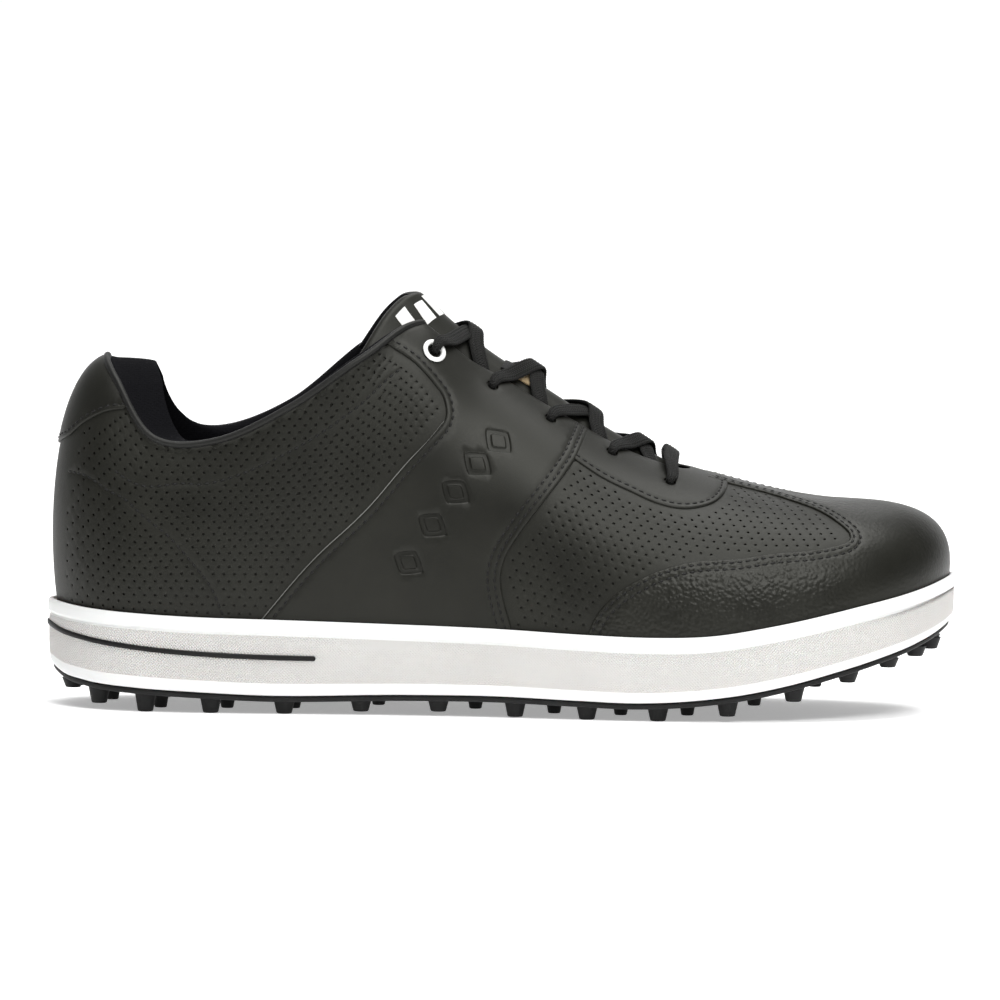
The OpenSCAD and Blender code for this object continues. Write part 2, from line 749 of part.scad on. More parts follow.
// Rows across the toe from one side of the sole to the other.
function toe_grid(ps, low, cols) = [
    for (p = ps) both_sides([for (j = [0:cols]) [p, low + (1 - low) * j / cols]])
];
module toe_puff() {
    ps = [for (i = [0:7]) i * 0.44];
    color([0.85, 0.85, 0.8])
        panel_grid(
            toe_grid(ps, 0.03, 10), stiffener_depth, stiffener_depth + stiffener_t,
            function (i, j) true, true
        );
}
module vamp_lining() {
    cols = 10;
    open_row = 10;
    side_cols = 7;
    ps = [for (i = [0:open_row]) i * 0.485, 5.4, 5.9, 6.4, 6.9];
    g = toe_grid(ps, 0.02, cols);
    kept = function (i, j) i < open_row || min(j, 2 * cols - 1 - j) < side_cols;
    color(textile)
        panel_grid(g, lining_depth, lining_depth + lining_t, kept, true);
}
lining_low = [
    [6.96, 0.02], [8, 0.02], [9, 0.02], [9.8, 0.02], [10.2, 0.02], [10.3, 0.02],
    [12, 0.02], [14, 0.02], [15.97, 0.02]
];
lining_high = [
    [6.96, 0.68], [8, 0.69], [9, 0.69], [9.8, 0.69], [10.2, 0.69], [10.3, 0.65],
    [12, 0.65], [14, 0.65], [15.97, 0.65]
];
module quarter_lining_lateral() {
    color(textile)
        panel(fine(lining_low, 3), fine(lining_high, 3), 6, lining_depth, lining_depth + lining_t);
}
module quarter_lining_medial() {
    color(textile)
        panel(
            fine(mirrored(lining_low), 3), fine(mirrored(lining_high), 3),
            6, lining_depth, lining_depth + lining_t
        );
}

stay_low = [[5.95, 0.68], [7, 0.72], [8, 0.72], [9, 0.72], [9.6, 0.74], [9.98, 0.75]];
stay_high = [[5.95, 0.8], [7, 0.84], [8, 0.832], [9, 0.83], [9.6, 0.86], [9.98, 0.88]];
module stay_lateral() {
    color([0.25, 0.25, 0.26])
        difference() {
            panel(fine(stay_low, 3), fine(stay_high, 3), 3, stay_depth, stay_depth + stay_t);
            lace_holes([0, 1, 2, 3, 4], false);
        }
}
module stay_medial() {
    color([0.25, 0.25, 0.26])
        difference() {
            panel(
                fine(mirrored(stay_low), 3), fine(mirrored(stay_high), 3),
                3, stay_depth, stay_depth + stay_t
            );
            lace_holes([0, 1, 2, 3, 4], true);
        }
}

// ---- eyelets ----

ring_hole_d = 5;
ring_t = 0.7;
washer_t = 0.4;
barrel_len = under_leather + stay_t + 2 * gap + washer_t;
module at_top_eyelets() {
    for (q = [holes[top_hole], other_side(holes[top_hole])])
        at_upper(q[0], q[1])
            children();
}
module eyelet_rings() {
    color([0.95, 0.95, 0.95])
        at_top_eyelets()
            rotate_extrude($fn = 40)
                polygon([
                    [ring_hole_d / 2, -barrel_len],
                    [barrel_d / 2, -barrel_len],
                    [barrel_d / 2, gap / 2],
                    [ring_d / 2, gap / 2],
                    [ring_d / 2 - 0.2, ring_t],
                    [ring_hole_d / 2 + 0.3, ring_t + 0.2],
                    [ring_hole_d / 2, ring_t - 0.2]
                ]);
}
module eyelet_washers() {
    color([0.8, 0.8, 0.8])
        at_top_eyelets()
            translate([0, 0, -barrel_len])
                rotate_extrude($fn = 40)
                    translate([barrel_d / 2 + gap, 0])
                        square([ring_d / 2 - barrel_d / 2 - gap, washer_t]);
}

// ---- tongue ----

tongue_leather_t = 1;
tongue_foam_t = 2.6;
tongue_grid_v = [
    -1, -0.92, -0.8, -0.65, -0.5, -0.35, -0.2, -0.07,
    0.07, 0.2, 0.35, 0.5, 0.65, 0.8, 0.92, 1
];
function tongue_grid(from, to, n, inset) = [
    for (i = [0:n]) [for (v = tongue_grid_v) [from + (to - from) * i / n, v * (1 - inset)]]
];
module tongue_outer() {
    color(leather)
        tongue_layer(tongue_grid(0, tongue_last, 14, 0), 0, tongue_leather_t);
}
module tongue_foam() {
    from = tongue_leather_t + gap;
    color([0.75, 0.73, 0.6])
        tongue_layer(tongue_grid(0.4, tongue_last - 0.3, 13, 0.06), from, from + tongue_foam_t);
}
module tongue_lining() {
    from = tongue_leather_t + tongue_foam_t + 2 * gap;
    color(textile)
        tongue_layer(tongue_grid(0.1, tongue_last - 0.1, 13, 0.02), from, from + lining_t);
}
// Woven lace keeper and printed mark: thin patches on the tongue.
function patch(u0, u1, w) = [
    for (i = [0:4]) [for (v = [-w, -0.2, 0, 0.2, w]) [u0 + (u1 - u0) * i / 4, v]]
];
badge_t = 0.8;
mark_t = 0.3;
patch_gap = 0.2;
module tongue_badge() {
    color([0.72, 0.62, 0.42])
        tongue_layer(patch(5.4, 6.15, 0.24), -badge_t - patch_gap, -patch_gap);
}
module tongue_mark() {
    color([0.92, 0.92, 0.9])
        tongue_layer(patch(8.5, 9.5, 0.33), -mark_t - patch_gap, -patch_gap);
}

// ---- lace ----

// Height of the throat edge at each row, where the lace passes over it.
throat_h = [0.9, 0.9, 0.89, 0.88, 0.89];
// Lace heights over the tongue at the crossings above each row, for the two halves.
lace_up = 1.3;
cross_low = [1.7, 1.7, 3.5, 1.8];
cross_high = [3.3, 3.3, 5.1, 3.4];
lace_in = stay_depth + stay_t + lace_t / 2 + gap;
lace_out = -lace_t / 2 - gap;
// Half sizes of the lace where it lies flat and where it is bunched inside a hole.
flat = [lace_w / 2, lace_t / 2];
bunch = [1.4, 0.85];
narrow = [2, lace_t / 2];

// Direction along the throat, towards the ankle.
lace_axis = unit([-0.84, 0, 0.54]);
function at_side(s, h) = s < 0 ? h : 2 - h;
// Place on the tongue nearest to a station of the upper.
tongue_steps = [for (i = [tongue_last:-1:0]) [tongue_line[i][0], i]];
function over_tongue(p, v, up) =
    on_tongue(lookup(upper(p, 1)[0] / k, tongue_steps), v, -up);

// Each entry is [point, half sizes].
function lace_row(i, s, ups) =
    let (
        p = holes[i][0],
        h = holes[i][1],
        lift = i == top_hole ? ring_t + 0.4 : 0
    )
    concat(
        [
            [on_upper(p - 0.04, at_side(s, h + 0.04), lace_out - lift), narrow],
            [on_upper(p, at_side(s, h + 0.003), -0.15 - lift), bunch],
            [on_upper(p, at_side(s, h + 0.003), i == top_hole ? barrel_len : lace_in - 0.7), bunch],
            i == top_hole
                ? [on_upper(p + 0.01, at_side(s, h - 0.015), barrel_len + 0.9), bunch]
                : [on_upper(p + 0.04, at_side(s, h + 0.035), lace_in + 0.1), narrow]
        ],
        i == top_hole ? [] : [
            [over_tongue(p + 0.3, 0.28 * s, lace_up + (ups[i] - lace_up) / 3), flat],
            [over_tongue(p + 0.45, 0, ups[i]), flat],
            [
                on_upper(holes[i + 1][0] - 0.2, at_side(-s, throat_h[i + 1] + 0.01), lace_out - 0.2),
                flat
            ]
        ]
    );
// The loose end is tucked down between the tongue and the lining.
function lace_tail(s) = [
    [on_upper(9.8, at_side(s, 0.76), 4.8), bunch],
    [on_upper(9.85, at_side(s, 0.69), 5), flat],
    [on_upper(9.9, at_side(s, 0.6), 5.2), flat],
    [on_upper(9.95, at_side(s, 0.5), 5.4), flat],
    [on_upper(10, at_side(s, 0.42), 6), narrow]
];
function half_lace(s, ups) = concat(
    [for (i = [0:top_hole]) each lace_row(i, (i % 2 == 0) ? s : -s, ups)],
    lace_tail(s)
);
front_bar = [
    [on_upper(6.16, 0.88, lace_out - 1.2), flat],
    [on_upper(6.15, 1, lace_out - 2.2), flat],
    [on_upper(6.16, 1.12, lace_out - 1.2), flat]
];
whole_lace = concat(reversed(half_lace(-1, cross_low)), front_bar, half_lace(1, cross_high));

module lace() {
    path = [for (q = whole_lace) q[0]];
    color([0.06, 0.06, 0.06])
        swept(
            path,
            [for (q = path) lace_axis],
            [for (q = whole_lace) q[1][0]],
            [for (q = whole_lace) q[1][1]]
        );
}
aglet_r = 1.5;
module aglet(end, before) {
    d = unit(end - before);
    x = unit(cross([0, 1, 0], d));
    y = cross(d, x);
    o = end + d * gap;
    multmatrix([
        [x[0], y[0], d[0], o[0]],
        [x[1], y[1], d[1], o[1]],
        [x[2], y[2], d[2], o[2]],
        [0, 0, 0, 1]
    ])
        cylinder(h = aglet_len, r = aglet_r, $fn = 24);
}
module aglets() {
    n = len(whole_lace);
    color([0.1, 0.1, 0.1]) {
        aglet(whole_lace[0][0], whole_lace[1][0]);
        aglet(whole_lace[n - 1][0], whole_lace[n - 2][0]);
    }
}

outsole();
midsole();
heel_stripe();
eva_wedge();
shank();
lasting_board();
sockliner_foam();
sockliner_cloth();
toe_guard();
vamp_lateral();
vamp_medial();
eyestay_front();
saddle_lateral();
saddle_medial();
quarter_lateral();
quarter_medial();
heel_tab();
collar_binding();
collar_foam();
collar_lining();
heel_counter();
toe_puff();
vamp_lining();
quarter_lining_lateral();
quarter_lining_medial();
stay_lateral();
stay_medial();
eyelet_rings();
eyelet_washers();
tongue_outer();
tongue_foam();
tongue_lining();
tongue_badge();
tongue_mark();
lace();
aglets();
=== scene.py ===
import math

import bpy
import numpy as np
from mathutils import Matrix, Vector
from mathutils.geometry import delaunay_2d_cdt


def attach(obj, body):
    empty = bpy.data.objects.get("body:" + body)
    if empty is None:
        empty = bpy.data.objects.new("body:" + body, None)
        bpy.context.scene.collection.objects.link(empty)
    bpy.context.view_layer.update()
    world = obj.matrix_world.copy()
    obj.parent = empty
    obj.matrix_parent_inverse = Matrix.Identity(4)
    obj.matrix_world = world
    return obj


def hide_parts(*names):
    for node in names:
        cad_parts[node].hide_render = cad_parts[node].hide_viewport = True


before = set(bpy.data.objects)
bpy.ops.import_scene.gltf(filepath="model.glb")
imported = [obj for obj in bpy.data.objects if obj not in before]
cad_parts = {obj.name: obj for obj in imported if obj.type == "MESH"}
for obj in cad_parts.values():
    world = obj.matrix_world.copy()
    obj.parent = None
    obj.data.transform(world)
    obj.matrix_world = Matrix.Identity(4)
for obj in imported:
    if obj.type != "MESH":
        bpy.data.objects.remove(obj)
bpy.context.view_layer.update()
MM = 0.001

# ---------------------------------------------------------------- surfaces

STATIONS = 32
HEEL = 16
OUTER_EDGE = [
    (150, 6), (147.5, -8), (140, -22), (128, -34.5), (111, -44), (90, -49.6), (66, -51.6),
    (42, -49.8), (18, -46), (-6, -41.5), (-31, -39), (-56, -38.3), (-81, -38.5),
    (-105, -38), (-127, -33), (-142.7, -20), (-149.5, 0),
]
INNER_EDGE = [
    (147, 20), (138.5, 32), (125, 41), (106, 47.5), (84, 51), (60, 51.3), (37, 47.5),
    (14, 41.6), (-9, 37.2), (-32, 34.5), (-56, 34), (-81, 34.8), (-105, 35), (-127, 31),
    (-142.7, 19),
]
EDGE_LOOP = np.array(OUTER_EDGE + INNER_EDGE[::-1], float)
TOP_LINE = [
    (-150, 35), (-139, 33.9), (-120, 32.8), (-100, 32), (-76, 31.5), (-40, 30.6), (0, 29.6),
    (30, 28.4), (50, 28), (70, 28.8), (90, 32), (118, 38), (142, 43.5), (150, 46),
]
BOTTOM_LINE = [
    (-150, 14), (-146, 11.5), (-139, 9.9), (-121, 8.2), (-100, 7.2), (-80, 6.4), (-30, 7.2),
    (0, 7.3), (25, 6.6), (45, 6.2), (65, 7.4), (80, 9.3), (95, 12.3), (110, 16.2),
    (126, 20.8), (138, 24.8), (146, 28.5), (150, 31),
]
TIP_LINE = [
    (-150, 9), (-144, 7.5), (-135, 2.3), (-118, 0), (-62, 0), (-40, 1.4), (-20, 1.4),
    (0, 0.4), (15, 0), (60, 0), (69, 0.7), (92, 5), (109, 10.8), (125, 16.1), (150, 24),
]
# Top point on the outer and inner side, then how far the profile leaves the sole outwards
# and upwards, and how it meets the top outwards and downwards.
UPPER_ROWS = [
    ((110, 3, 70.3), (110, 3, 70.3), 2, 17, 32, -1),
    ((109.3, 3, 70.3), (109.3, 3, 70.3), 2, 17, 32, -1),
    ((106.3, 3, 70.5), (106.3, 3, 70.5), 2, 18, 32, -0.5),
    ((100, 3, 71.3), (100, 3, 71.3), 2, 20, 32, 0.5),
    ((88.5, 2.5, 73.7), (88.5, 2.5, 73.7), 1.5, 21, 32, 1),
    ((75, 2, 77.3), (75, 2, 77.3), 1, 23, 32, 1),
    ((58, 1.5, 82.4), (58, 1.5, 82.4), 1, 26, 32, 1.5),
    ((38, 1, 91), (38, 1, 91), 1, 30, 34, 2),
    ((17.5, 0.5, 103.4), (17.5, 0.5, 103.4), 1, 36, 34, 2),
    ((-4, 0, 116.6), (-4, 0, 116.6), 1, 40, 33, 2),
    ((-27, -15, 129.5), (-27, 15, 129.5), 1.5, 44, 18, 12),
    ((-47, -29, 119.5), (-47, 28, 118.5), 1.5, 40, 5, 28),
    ((-70, -32, 103.5), (-70, 30, 99.5), 2, 32, 4, 26),
    ((-94, -30.5, 91.5), (-94, 28.5, 90.3), 2.5, 26, 5, 22),
    ((-115, -26.5, 91.5), (-115, 25, 96), 3, 22, 7, 22),
    ((-127, -15, 109), (-127, 14.5, 109.5), 4, 28, 13, 12),
    ((-131, 0, 116), (-131, 0, 116), 4.5, 31, 17, 5),
]
FEATHER_IN = 2
FEATHER_DOWN = 1


def unit(v):
    return v / np.maximum(np.linalg.norm(v, axis=-1, keepdims=True), 1e-12)


def around(table, t):
    """Smooth closed curve through the table's rows."""
    t = np.asarray(t, float)
    i = np.floor(t).astype(int)
    f = (t - i).reshape(t.shape + (1,) * (table.ndim - 1))
    a, b, c, d = (table[(i + k) % len(table)] for k in (-1, 0, 1, 2))
    square, cube = 2 * a - 5 * b + 4 * c - d, 3 * b - a - 3 * c + d
    return 0.5 * (2 * b + (c - a) * f + square * f**2 + cube * f**3)


def smooth_lookup(x, table):
    """Smooth open curve y(x) through the table's points."""
    xs, ys = np.array(table, float).T
    x = np.clip(x, xs[0], xs[-1])
    i = np.clip(np.searchsorted(xs, x) - 1, 0, len(xs) - 2)
    m = np.gradient(ys, xs)
    w = xs[i + 1] - xs[i]
    t = (x - xs[i]) / w
    rise = ys[i] * (1 + 2 * t) * (1 - t) ** 2 + ys[i + 1] * t * t * (3 - 2 * t)
    return rise + w * m[i] * t * (1 - t) ** 2 + w * m[i + 1] * t * t * (t - 1)


def edge_point(p):
    return around(EDGE_LOOP, p)


def edge_out(p):
    p = np.asarray(p, float)
    d = edge_point(p + 0.05) - edge_point(p - 0.05)
    return unit(np.stack([-d[..., 1], d[..., 0]], -1))


def sole_points(p, inset, high, lift):
    """Points inset from the sole's edge, at a fraction of the wall's height."""
    e = edge_point(p)
    q = e - edge_out(p) * np.asarray(inset, float)[..., None]
    z = high * smooth_lookup(e[..., 0], TOP_LINE) + (1 - high) * smooth_lookup(e[..., 0], BOTTOM_LINE)
    return np.concatenate([q, (z + lift)[..., None]], -1)


def upper_station(i):
    outer = i <= HEEL
    row = UPPER_ROWS[i if outer else STATIONS - i]
    top = np.array(row[0] if outer else row[1], float)
    e, o = edge_point(i), edge_out(i)
    n = np.array([o[0], o[1], 0])
    foot = np.array([e[0], e[1], smooth_lookup(e[0], TOP_LINE) - FEATHER_DOWN]) - n * FEATHER_IN
    return [foot, foot + n * row[2] + [0, 0, row[3]], top + n * row[4] - [0, 0, row[5]], top]


UPPER = np.array([upper_station(i) for i in range(STATIONS)])


def upper(p, h):
    """Point on the upper at station p and height fraction h; above 1 is the inner side."""
    p, h = np.broadcast_arrays(np.asarray(p, float), np.asarray(h, float))
    inner = h > 1
    c = around(UPPER, np.where(inner, STATIONS - p, p))
    t = np.where(inner, 2 - h, h)[..., None]
    weights = ((1 - t) ** 3, 3 * (1 - t) ** 2 * t, 3 * (1 - t) * t * t, t**3)
    return sum(w * c[..., k, :] for k, w in enumerate(weights))


def outward(f, a, b, e=0.04):
    da = f(a + e, b) - f(a - e, b)
    db = f(a, b + e) - f(a, b - e)
    return unit(np.cross(db, da))


def upper_out(p, h):
    p, h = np.broadcast_arrays(np.asarray(p, float), np.asarray(h, float))
    a = np.where(abs(h - 1) < 0.2, np.maximum(p, 0.3), p)
    b = np.where((p < 9.6) | (abs(h - 1) > 0.03), h, np.where(h < 1, 0.97, 1.03))
    return outward(upper, a, b)


def on_upper(p, h, depth):
    return upper(p, h) - upper_out(p, h) * np.asarray(depth, float)[..., None]


TONGUE_LINE = np.array([
    (68, 77.2), (60, 79.6), (50, 84.8), (38, 91.2), (28, 97.2), (17.5, 104),
    (3.5, 112.9), (-7, 120), (-17, 128), (-24, 134.3), (-28.4, 138.2),
])
TONGUE_LAST = len(TONGUE_LINE) - 1
TONGUE_SIDE = [(0, 0), (0.2, 4), (0.35, 7), (0.5, 9.5), (0.65, 12.5), (0.8, 15.5), (0.92, 18), (1, 19.5)]
DROP_FRONT = [(0, 0), (0.2, 1), (0.35, 3.2), (0.5, 7), (0.65, 10.6), (0.8, 13.4), (0.92, 15.6), (1, 17.2)]
DROP_TOP = [(0, 0), (0.2, 1), (0.35, 3.2), (0.5, 7.6), (0.65, 12.4), (0.8, 18), (0.92, 23.5), (1, 28)]
TONGUE_FLARE_FROM = 5
TONGUE_EAR = [(0, 0), (0.2, 1.2), (0.4, 3), (0.6, 3.6), (0.8, 3), (1, 1.5)]


def mirror_table(table, sign):
    return [(-a, sign * b) for a, b in table[:0:-1]] + table


def tongue_mid(u):
    x, z = (smooth_lookup(u, list(enumerate(TONGUE_LINE[:, k]))) for k in (0, 1))
    return np.stack([x, z], -1)


def tongue(u, v):
    u, v = np.broadcast_arrays(np.asarray(u, float), np.asarray(v, float))
    c = tongue_mid(u)
    t = unit(tongue_mid(np.minimum(u + 0.6, TONGUE_LAST)) - tongue_mid(np.maximum(u - 0.6, 0)))
    w = np.maximum(0, u - TONGUE_FLARE_FROM) / (TONGUE_LAST - TONGUE_FLARE_FROM)
    v = np.clip(v, -1, 1)
    front = smooth_lookup(v, mirror_table(DROP_FRONT, 1))
    drop = front * (1 - w) + smooth_lookup(v, mirror_table(DROP_TOP, 1)) * w
    side = smooth_lookup(v, mirror_table(TONGUE_SIDE, -1))
    ear = smooth_lookup(v, mirror_table(TONGUE_EAR, 1)) * w
    x = c[..., 0] + t[..., 0] * ear - t[..., 1] * drop
    return np.stack([x, side, c[..., 1] + t[..., 1] * ear + t[..., 0] * drop], -1)


def tongue_out(u, v):
    return outward(tongue, u, np.clip(v, -0.95, 0.95))


def on_tongue(u, v, depth):
    return tongue(u, v) - tongue_out(u, v) * np.asarray(depth, float)[..., None]


# ---------------------------------------------------------------- curves on the upper


def curve(chain, n=10):
    """Smooth open chain through the given points, n steps a span."""
    c = np.array(chain, float)
    c = np.vstack([2 * c[0] - c[1], c, 2 * c[-1] - c[-2]])
    t = np.arange(0, len(chain) - 1 + 1e-9, 1 / n)
    i = np.minimum(t.astype(int), len(chain) - 2)
    f = (t - i)[:, None]
    a, b, d, e = (c[i + k] for k in range(4))
    return 0.5 * (2 * b + (d - a) * f + (2 * a - 5 * b + 4 * d - e) * f**2 + (3 * b - a - 3 * d + e) * f**3)


def arc(points):
    return np.concatenate([[0], np.cumsum(np.linalg.norm(np.diff(points, axis=0), axis=1))])


def respaced(chain, step):
    """The chain with points a step apart along the upper."""
    s = arc(upper(chain[:, 0], chain[:, 1]))
    n = max(2, int(round(s[-1] / step)) + 1)
    at = np.linspace(0, s[-1], n)
    return np.stack([np.interp(at, s, chain[:, k]) for k in range(2)], -1)


def mirrored(chain):
    c = np.array(chain, float)
    return np.stack([c[:, 0], 2 - c[:, 1]], -1)


def both_sides(chain):
    c = np.array(chain, float)
    return np.vstack([c, mirrored(c)[::-1][1:]])


def round_heel(chain):
    c = np.array(chain, float)
    back = c[::-1][1:]
    return np.vstack([c, np.stack([2 * HEEL - back[:, 0], back[:, 1]], -1)])


def frames(chain):
    """Points, tangents, outward directions and inward side directions along a chain."""
    x = upper(chain[:, 0], chain[:, 1])
    t = unit(np.gradient(x, axis=0))
    n = upper_out(chain[:, 0], chain[:, 1])
    n = unit(n - t * (n * t).sum(-1, keepdims=True))
    return x, t, n, np.cross(n, t)


def shifted(chain, vectors):
    """Chain moved by vectors in space, as new places on the upper."""
    e = 0.01
    p, h = chain[:, 0], chain[:, 1]
    du = (upper(p + e, h) - upper(p - e, h)) / (2 * e)
    dv = (upper(p, h + e / 4) - upper(p, h - e / 4)) / (e / 2)
    jac = np.stack([du, dv], -1)
    step = np.einsum("nij,nj->ni", np.linalg.pinv(jac, rcond=1e-3), vectors)
    return chain + step


def offset(chain, distance):
    """Chain moved sideways along the upper."""
    _, _, _, side = frames(chain)
    return shifted(chain, side * distance)


# ---------------------------------------------------------------- mesh helpers


def collect(name, points, faces, materials, body="shoe", uv=None, face_material=None, flat=None):
    """A smooth mesh piece from points in millimetres, riding on a body."""
    mesh = bpy.data.meshes.new(name)
    mesh.from_pydata((np.asarray(points, float) * MM).tolist(), [], [list(map(int, f)) for f in faces])
    mesh.validate()
    mesh.polygons.foreach_set("use_smooth", [True] * len(mesh.polygons))
    if flat is not None:
        mesh.set_sharp_from_angle(angle=math.radians(flat))
    for m in materials if isinstance(materials, (list, tuple)) else [materials]:
        mesh.materials.append(m)
    if face_material is not None:
        mesh.polygons.foreach_set("material_index", list(map(int, face_material)))
    if uv is not None:
        layer = mesh.uv_layers.new(name="surface")
        index = np.empty(len(mesh.loops), int)
        mesh.loops.foreach_get("vertex_index", index)
        layer.data.foreach_set("uv", np.asarray(uv, float)[index].ravel())
    mesh.update()
    piece = bpy.data.objects.new(name, mesh)
    bpy.context.scene.collection.objects.link(piece)
    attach(piece, body)
    return piece


def grid_faces(rows, cols, start=0, wrap_rows=False, wrap_cols=False):
    i, j = np.meshgrid(np.arange(rows - (not wrap_rows)), np.arange(cols - (not wrap_cols)), indexing="ij")
    i2, j2 = (i + 1) % rows, (j + 1) % cols
    quad = np.stack([i * cols + j, i * cols + j2, i2 * cols + j2, i2 * cols + j], -1)
    return (quad.reshape(-1, 4) + start).tolist()


def flipped(faces):
    return [f[::-1] for f in faces]


def volume_sign(points, faces):
    total = 0.0
    for f in faces:
        a = points[f[0]]
        for k in range(1, len(f) - 1):
            total += np.dot(a, np.cross(points[f[k]], points[f[k + 1]]))
    return total


def oriented(points, faces):
    return faces if volume_sign(points, faces) > 0 else flipped(faces)


def grid_solid(outer, inner):
    """Closed solid between two grids of points of the same size."""
    rows, cols = outer.shape[:2]
    points = np.vstack([outer.reshape(-1, 3), inner.reshape(-1, 3)])
    count = rows * cols
    faces = grid_faces(rows, cols) + flipped(grid_faces(rows, cols, count))
    ids = np.arange(count).reshape(rows, cols)
    rim = list(ids[0, :]) + list(ids[1:, -1]) + list(ids[-1, -2::-1]) + list(ids[-2:0:-1, 0])
    for a, b in zip(rim, rim[1:] + rim[:1]):
        faces.append([b, a, a + count, b + count])
    return points, oriented(points, faces)


def ring_stack(rings):
    """Closed solid from rings of equal size, capped across at both ends by centre points."""
    n = len(rings[0])
    points = np.vstack(rings + [rings[0].mean(0), rings[-1].mean(0)])
    faces = grid_faces(len(rings), n, wrap_cols=True)
    last = (len(rings) - 1) * n
    top, end = len(rings) * n, len(rings) * n + 1
    for j in range(n):
        k = (j + 1) % n
        faces.append([k, j, top])
        faces.append([last + j, last + k, end])
    return points, oriented(points, faces)


def swept(path, refs, half_w, half_t, sides=12, power=2.0, ribs=0, rib_depth=0.0):
    """Tube of oval section along a path, closed at both ends, with ribs running lengthwise."""
    path = np.asarray(path, float)
    t = unit(np.gradient(path, axis=0))
    s = unit(refs - t * (refs * t).sum(-1, keepdims=True))
    u = np.cross(s, t)
    a = np.arange(sides) * 2 * math.pi / sides
    ca = np.sign(np.cos(a)) * abs(np.cos(a)) ** (2 / power)
    sa = np.sign(np.sin(a)) * abs(np.sin(a)) ** (2 / power)
    if ribs:
        sa = sa * (1 - rib_depth * (0.5 + 0.5 * np.cos(math.pi * ribs * (ca + 1))))
    half_w = np.broadcast_to(np.asarray(half_w, float), (len(path),))[:, None, None]
    half_t = np.broadcast_to(np.asarray(half_t, float), (len(path),))[:, None, None]
    rings = path[:, None] + s[:, None] * ca[:, None] * half_w + u[:, None] * sa[:, None] * half_t
    points, faces = ring_stack(list(rings))
    length = arc(path)
    uv = np.stack([np.repeat(length, sides), np.tile(np.arange(sides) / sides, len(path))], -1)
    uv = np.vstack([uv, [[0, 0.5], [length[-1], 0.5]]])
    return points, faces, uv


def joined(parts):
    """Several (points, faces) as one."""
    points, faces, count = [], [], 0
    for p, f in parts:
        points.append(p)
        faces += [[i + count for i in face] for face in f]
        count += len(p)
    return np.vstack(points), faces


# ---------------------------------------------------------------- materials


def node(tree, kind, **values):
    n = tree.nodes.new(kind)
    for key, value in values.items():
        if key in n.inputs:
            n.inputs[key].default_value = value
        else:
            setattr(n, key, value)
    return n


class Finish:
    """A principled material with small builders for its textures."""

    def __init__(self, name, **constants):
        self.material = bpy.data.materials.new(name)
        self.material.use_nodes = True
        self.tree = self.material.node_tree
        self.shader = self.tree.nodes["Principled BSDF"]
        for key, value in constants.items():
            self.shader.inputs[key.replace("_", " ")].default_value = value
        self.coords = node(self.tree, "ShaderNodeTexCoord")
        self.bumped = None

    def link(self, a, b):
        self.tree.links.new(a, b)

    def noise(self, scale, detail=3.0, rough=0.5, stretch=None, uv=False):
        n = node(self.tree, "ShaderNodeTexNoise", Scale=scale, Detail=detail, Roughness=rough)
        self.link(self.mapped(stretch, uv), n.inputs["Vector"])
        return n.outputs["Fac"]

    def cells(self, scale, feature="F1", stretch=None, uv=False, randomness=1.0):
        n = node(self.tree, "ShaderNodeTexVoronoi", feature=feature, Scale=scale, Randomness=randomness)
        self.link(self.mapped(stretch, uv), n.inputs["Vector"])
        return n.outputs["Distance"]

    def waves(self, scale, turn=(0, 0, 0), stretch=None):
        n = node(self.tree, "ShaderNodeTexWave", Scale=scale)
        self.link(self.mapped(stretch, True, turn), n.inputs["Vector"])
        return n.outputs["Fac"]

    def mapped(self, stretch=None, uv=False, turn=(0, 0, 0)):
        m = node(self.tree, "ShaderNodeMapping")
        m.inputs["Scale"].default_value = stretch or (1, 1, 1)
        m.inputs["Rotation"].default_value = turn
        self.link(self.coords.outputs["UV" if uv else "Object"], m.inputs["Vector"])
        return m.outputs["Vector"]

    def math(self, kind, a, b):
        m = node(self.tree, "ShaderNodeMath", operation=kind)
        for socket, value in zip(m.inputs, (a, b)):
            if isinstance(value, (int, float)):
                socket.default_value = value
            else:
                self.link(value, socket)
        return m.outputs[0]

    def ramp(self, fac, low, high, low_at=0.3, high_at=0.7):
        r = node(self.tree, "ShaderNodeValToRGB")
        r.color_ramp.elements[0].position = low_at
        r.color_ramp.elements[1].position = high_at
        r.color_ramp.elements[0].color = (*low, 1)
        r.color_ramp.elements[1].color = (*high, 1)
        self.link(fac, r.inputs["Fac"])
        return r.outputs["Color"]

    def span(self, fac, low, high, low_at=0.0, high_at=1.0):
        r = node(self.tree, "ShaderNodeMapRange")
        r.inputs["From Min"].default_value = low_at
        r.inputs["From Max"].default_value = high_at
        r.inputs["To Min"].default_value = low
        r.inputs["To Max"].default_value = high
        self.link(fac, r.inputs["Value"])
        return r.outputs["Result"]

    def color(self, output):
        self.link(output, self.shader.inputs["Base Color"])

    def rough(self, output):
        self.link(output, self.shader.inputs["Roughness"])

    def bump(self, height, depth_mm, strength=1.0):
        b = node(self.tree, "ShaderNodeBump", Strength=strength, Distance=depth_mm * MM)
        self.link(height, b.inputs["Height"])
        if self.bumped is not None:
            self.link(self.bumped, b.inputs["Normal"])
        self.bumped = b.outputs["Normal"]
        self.link(self.bumped, self.shader.inputs["Normal"])


TIP_FADE = (0.095, 0.125)
TIP_GRAIN = 0.2


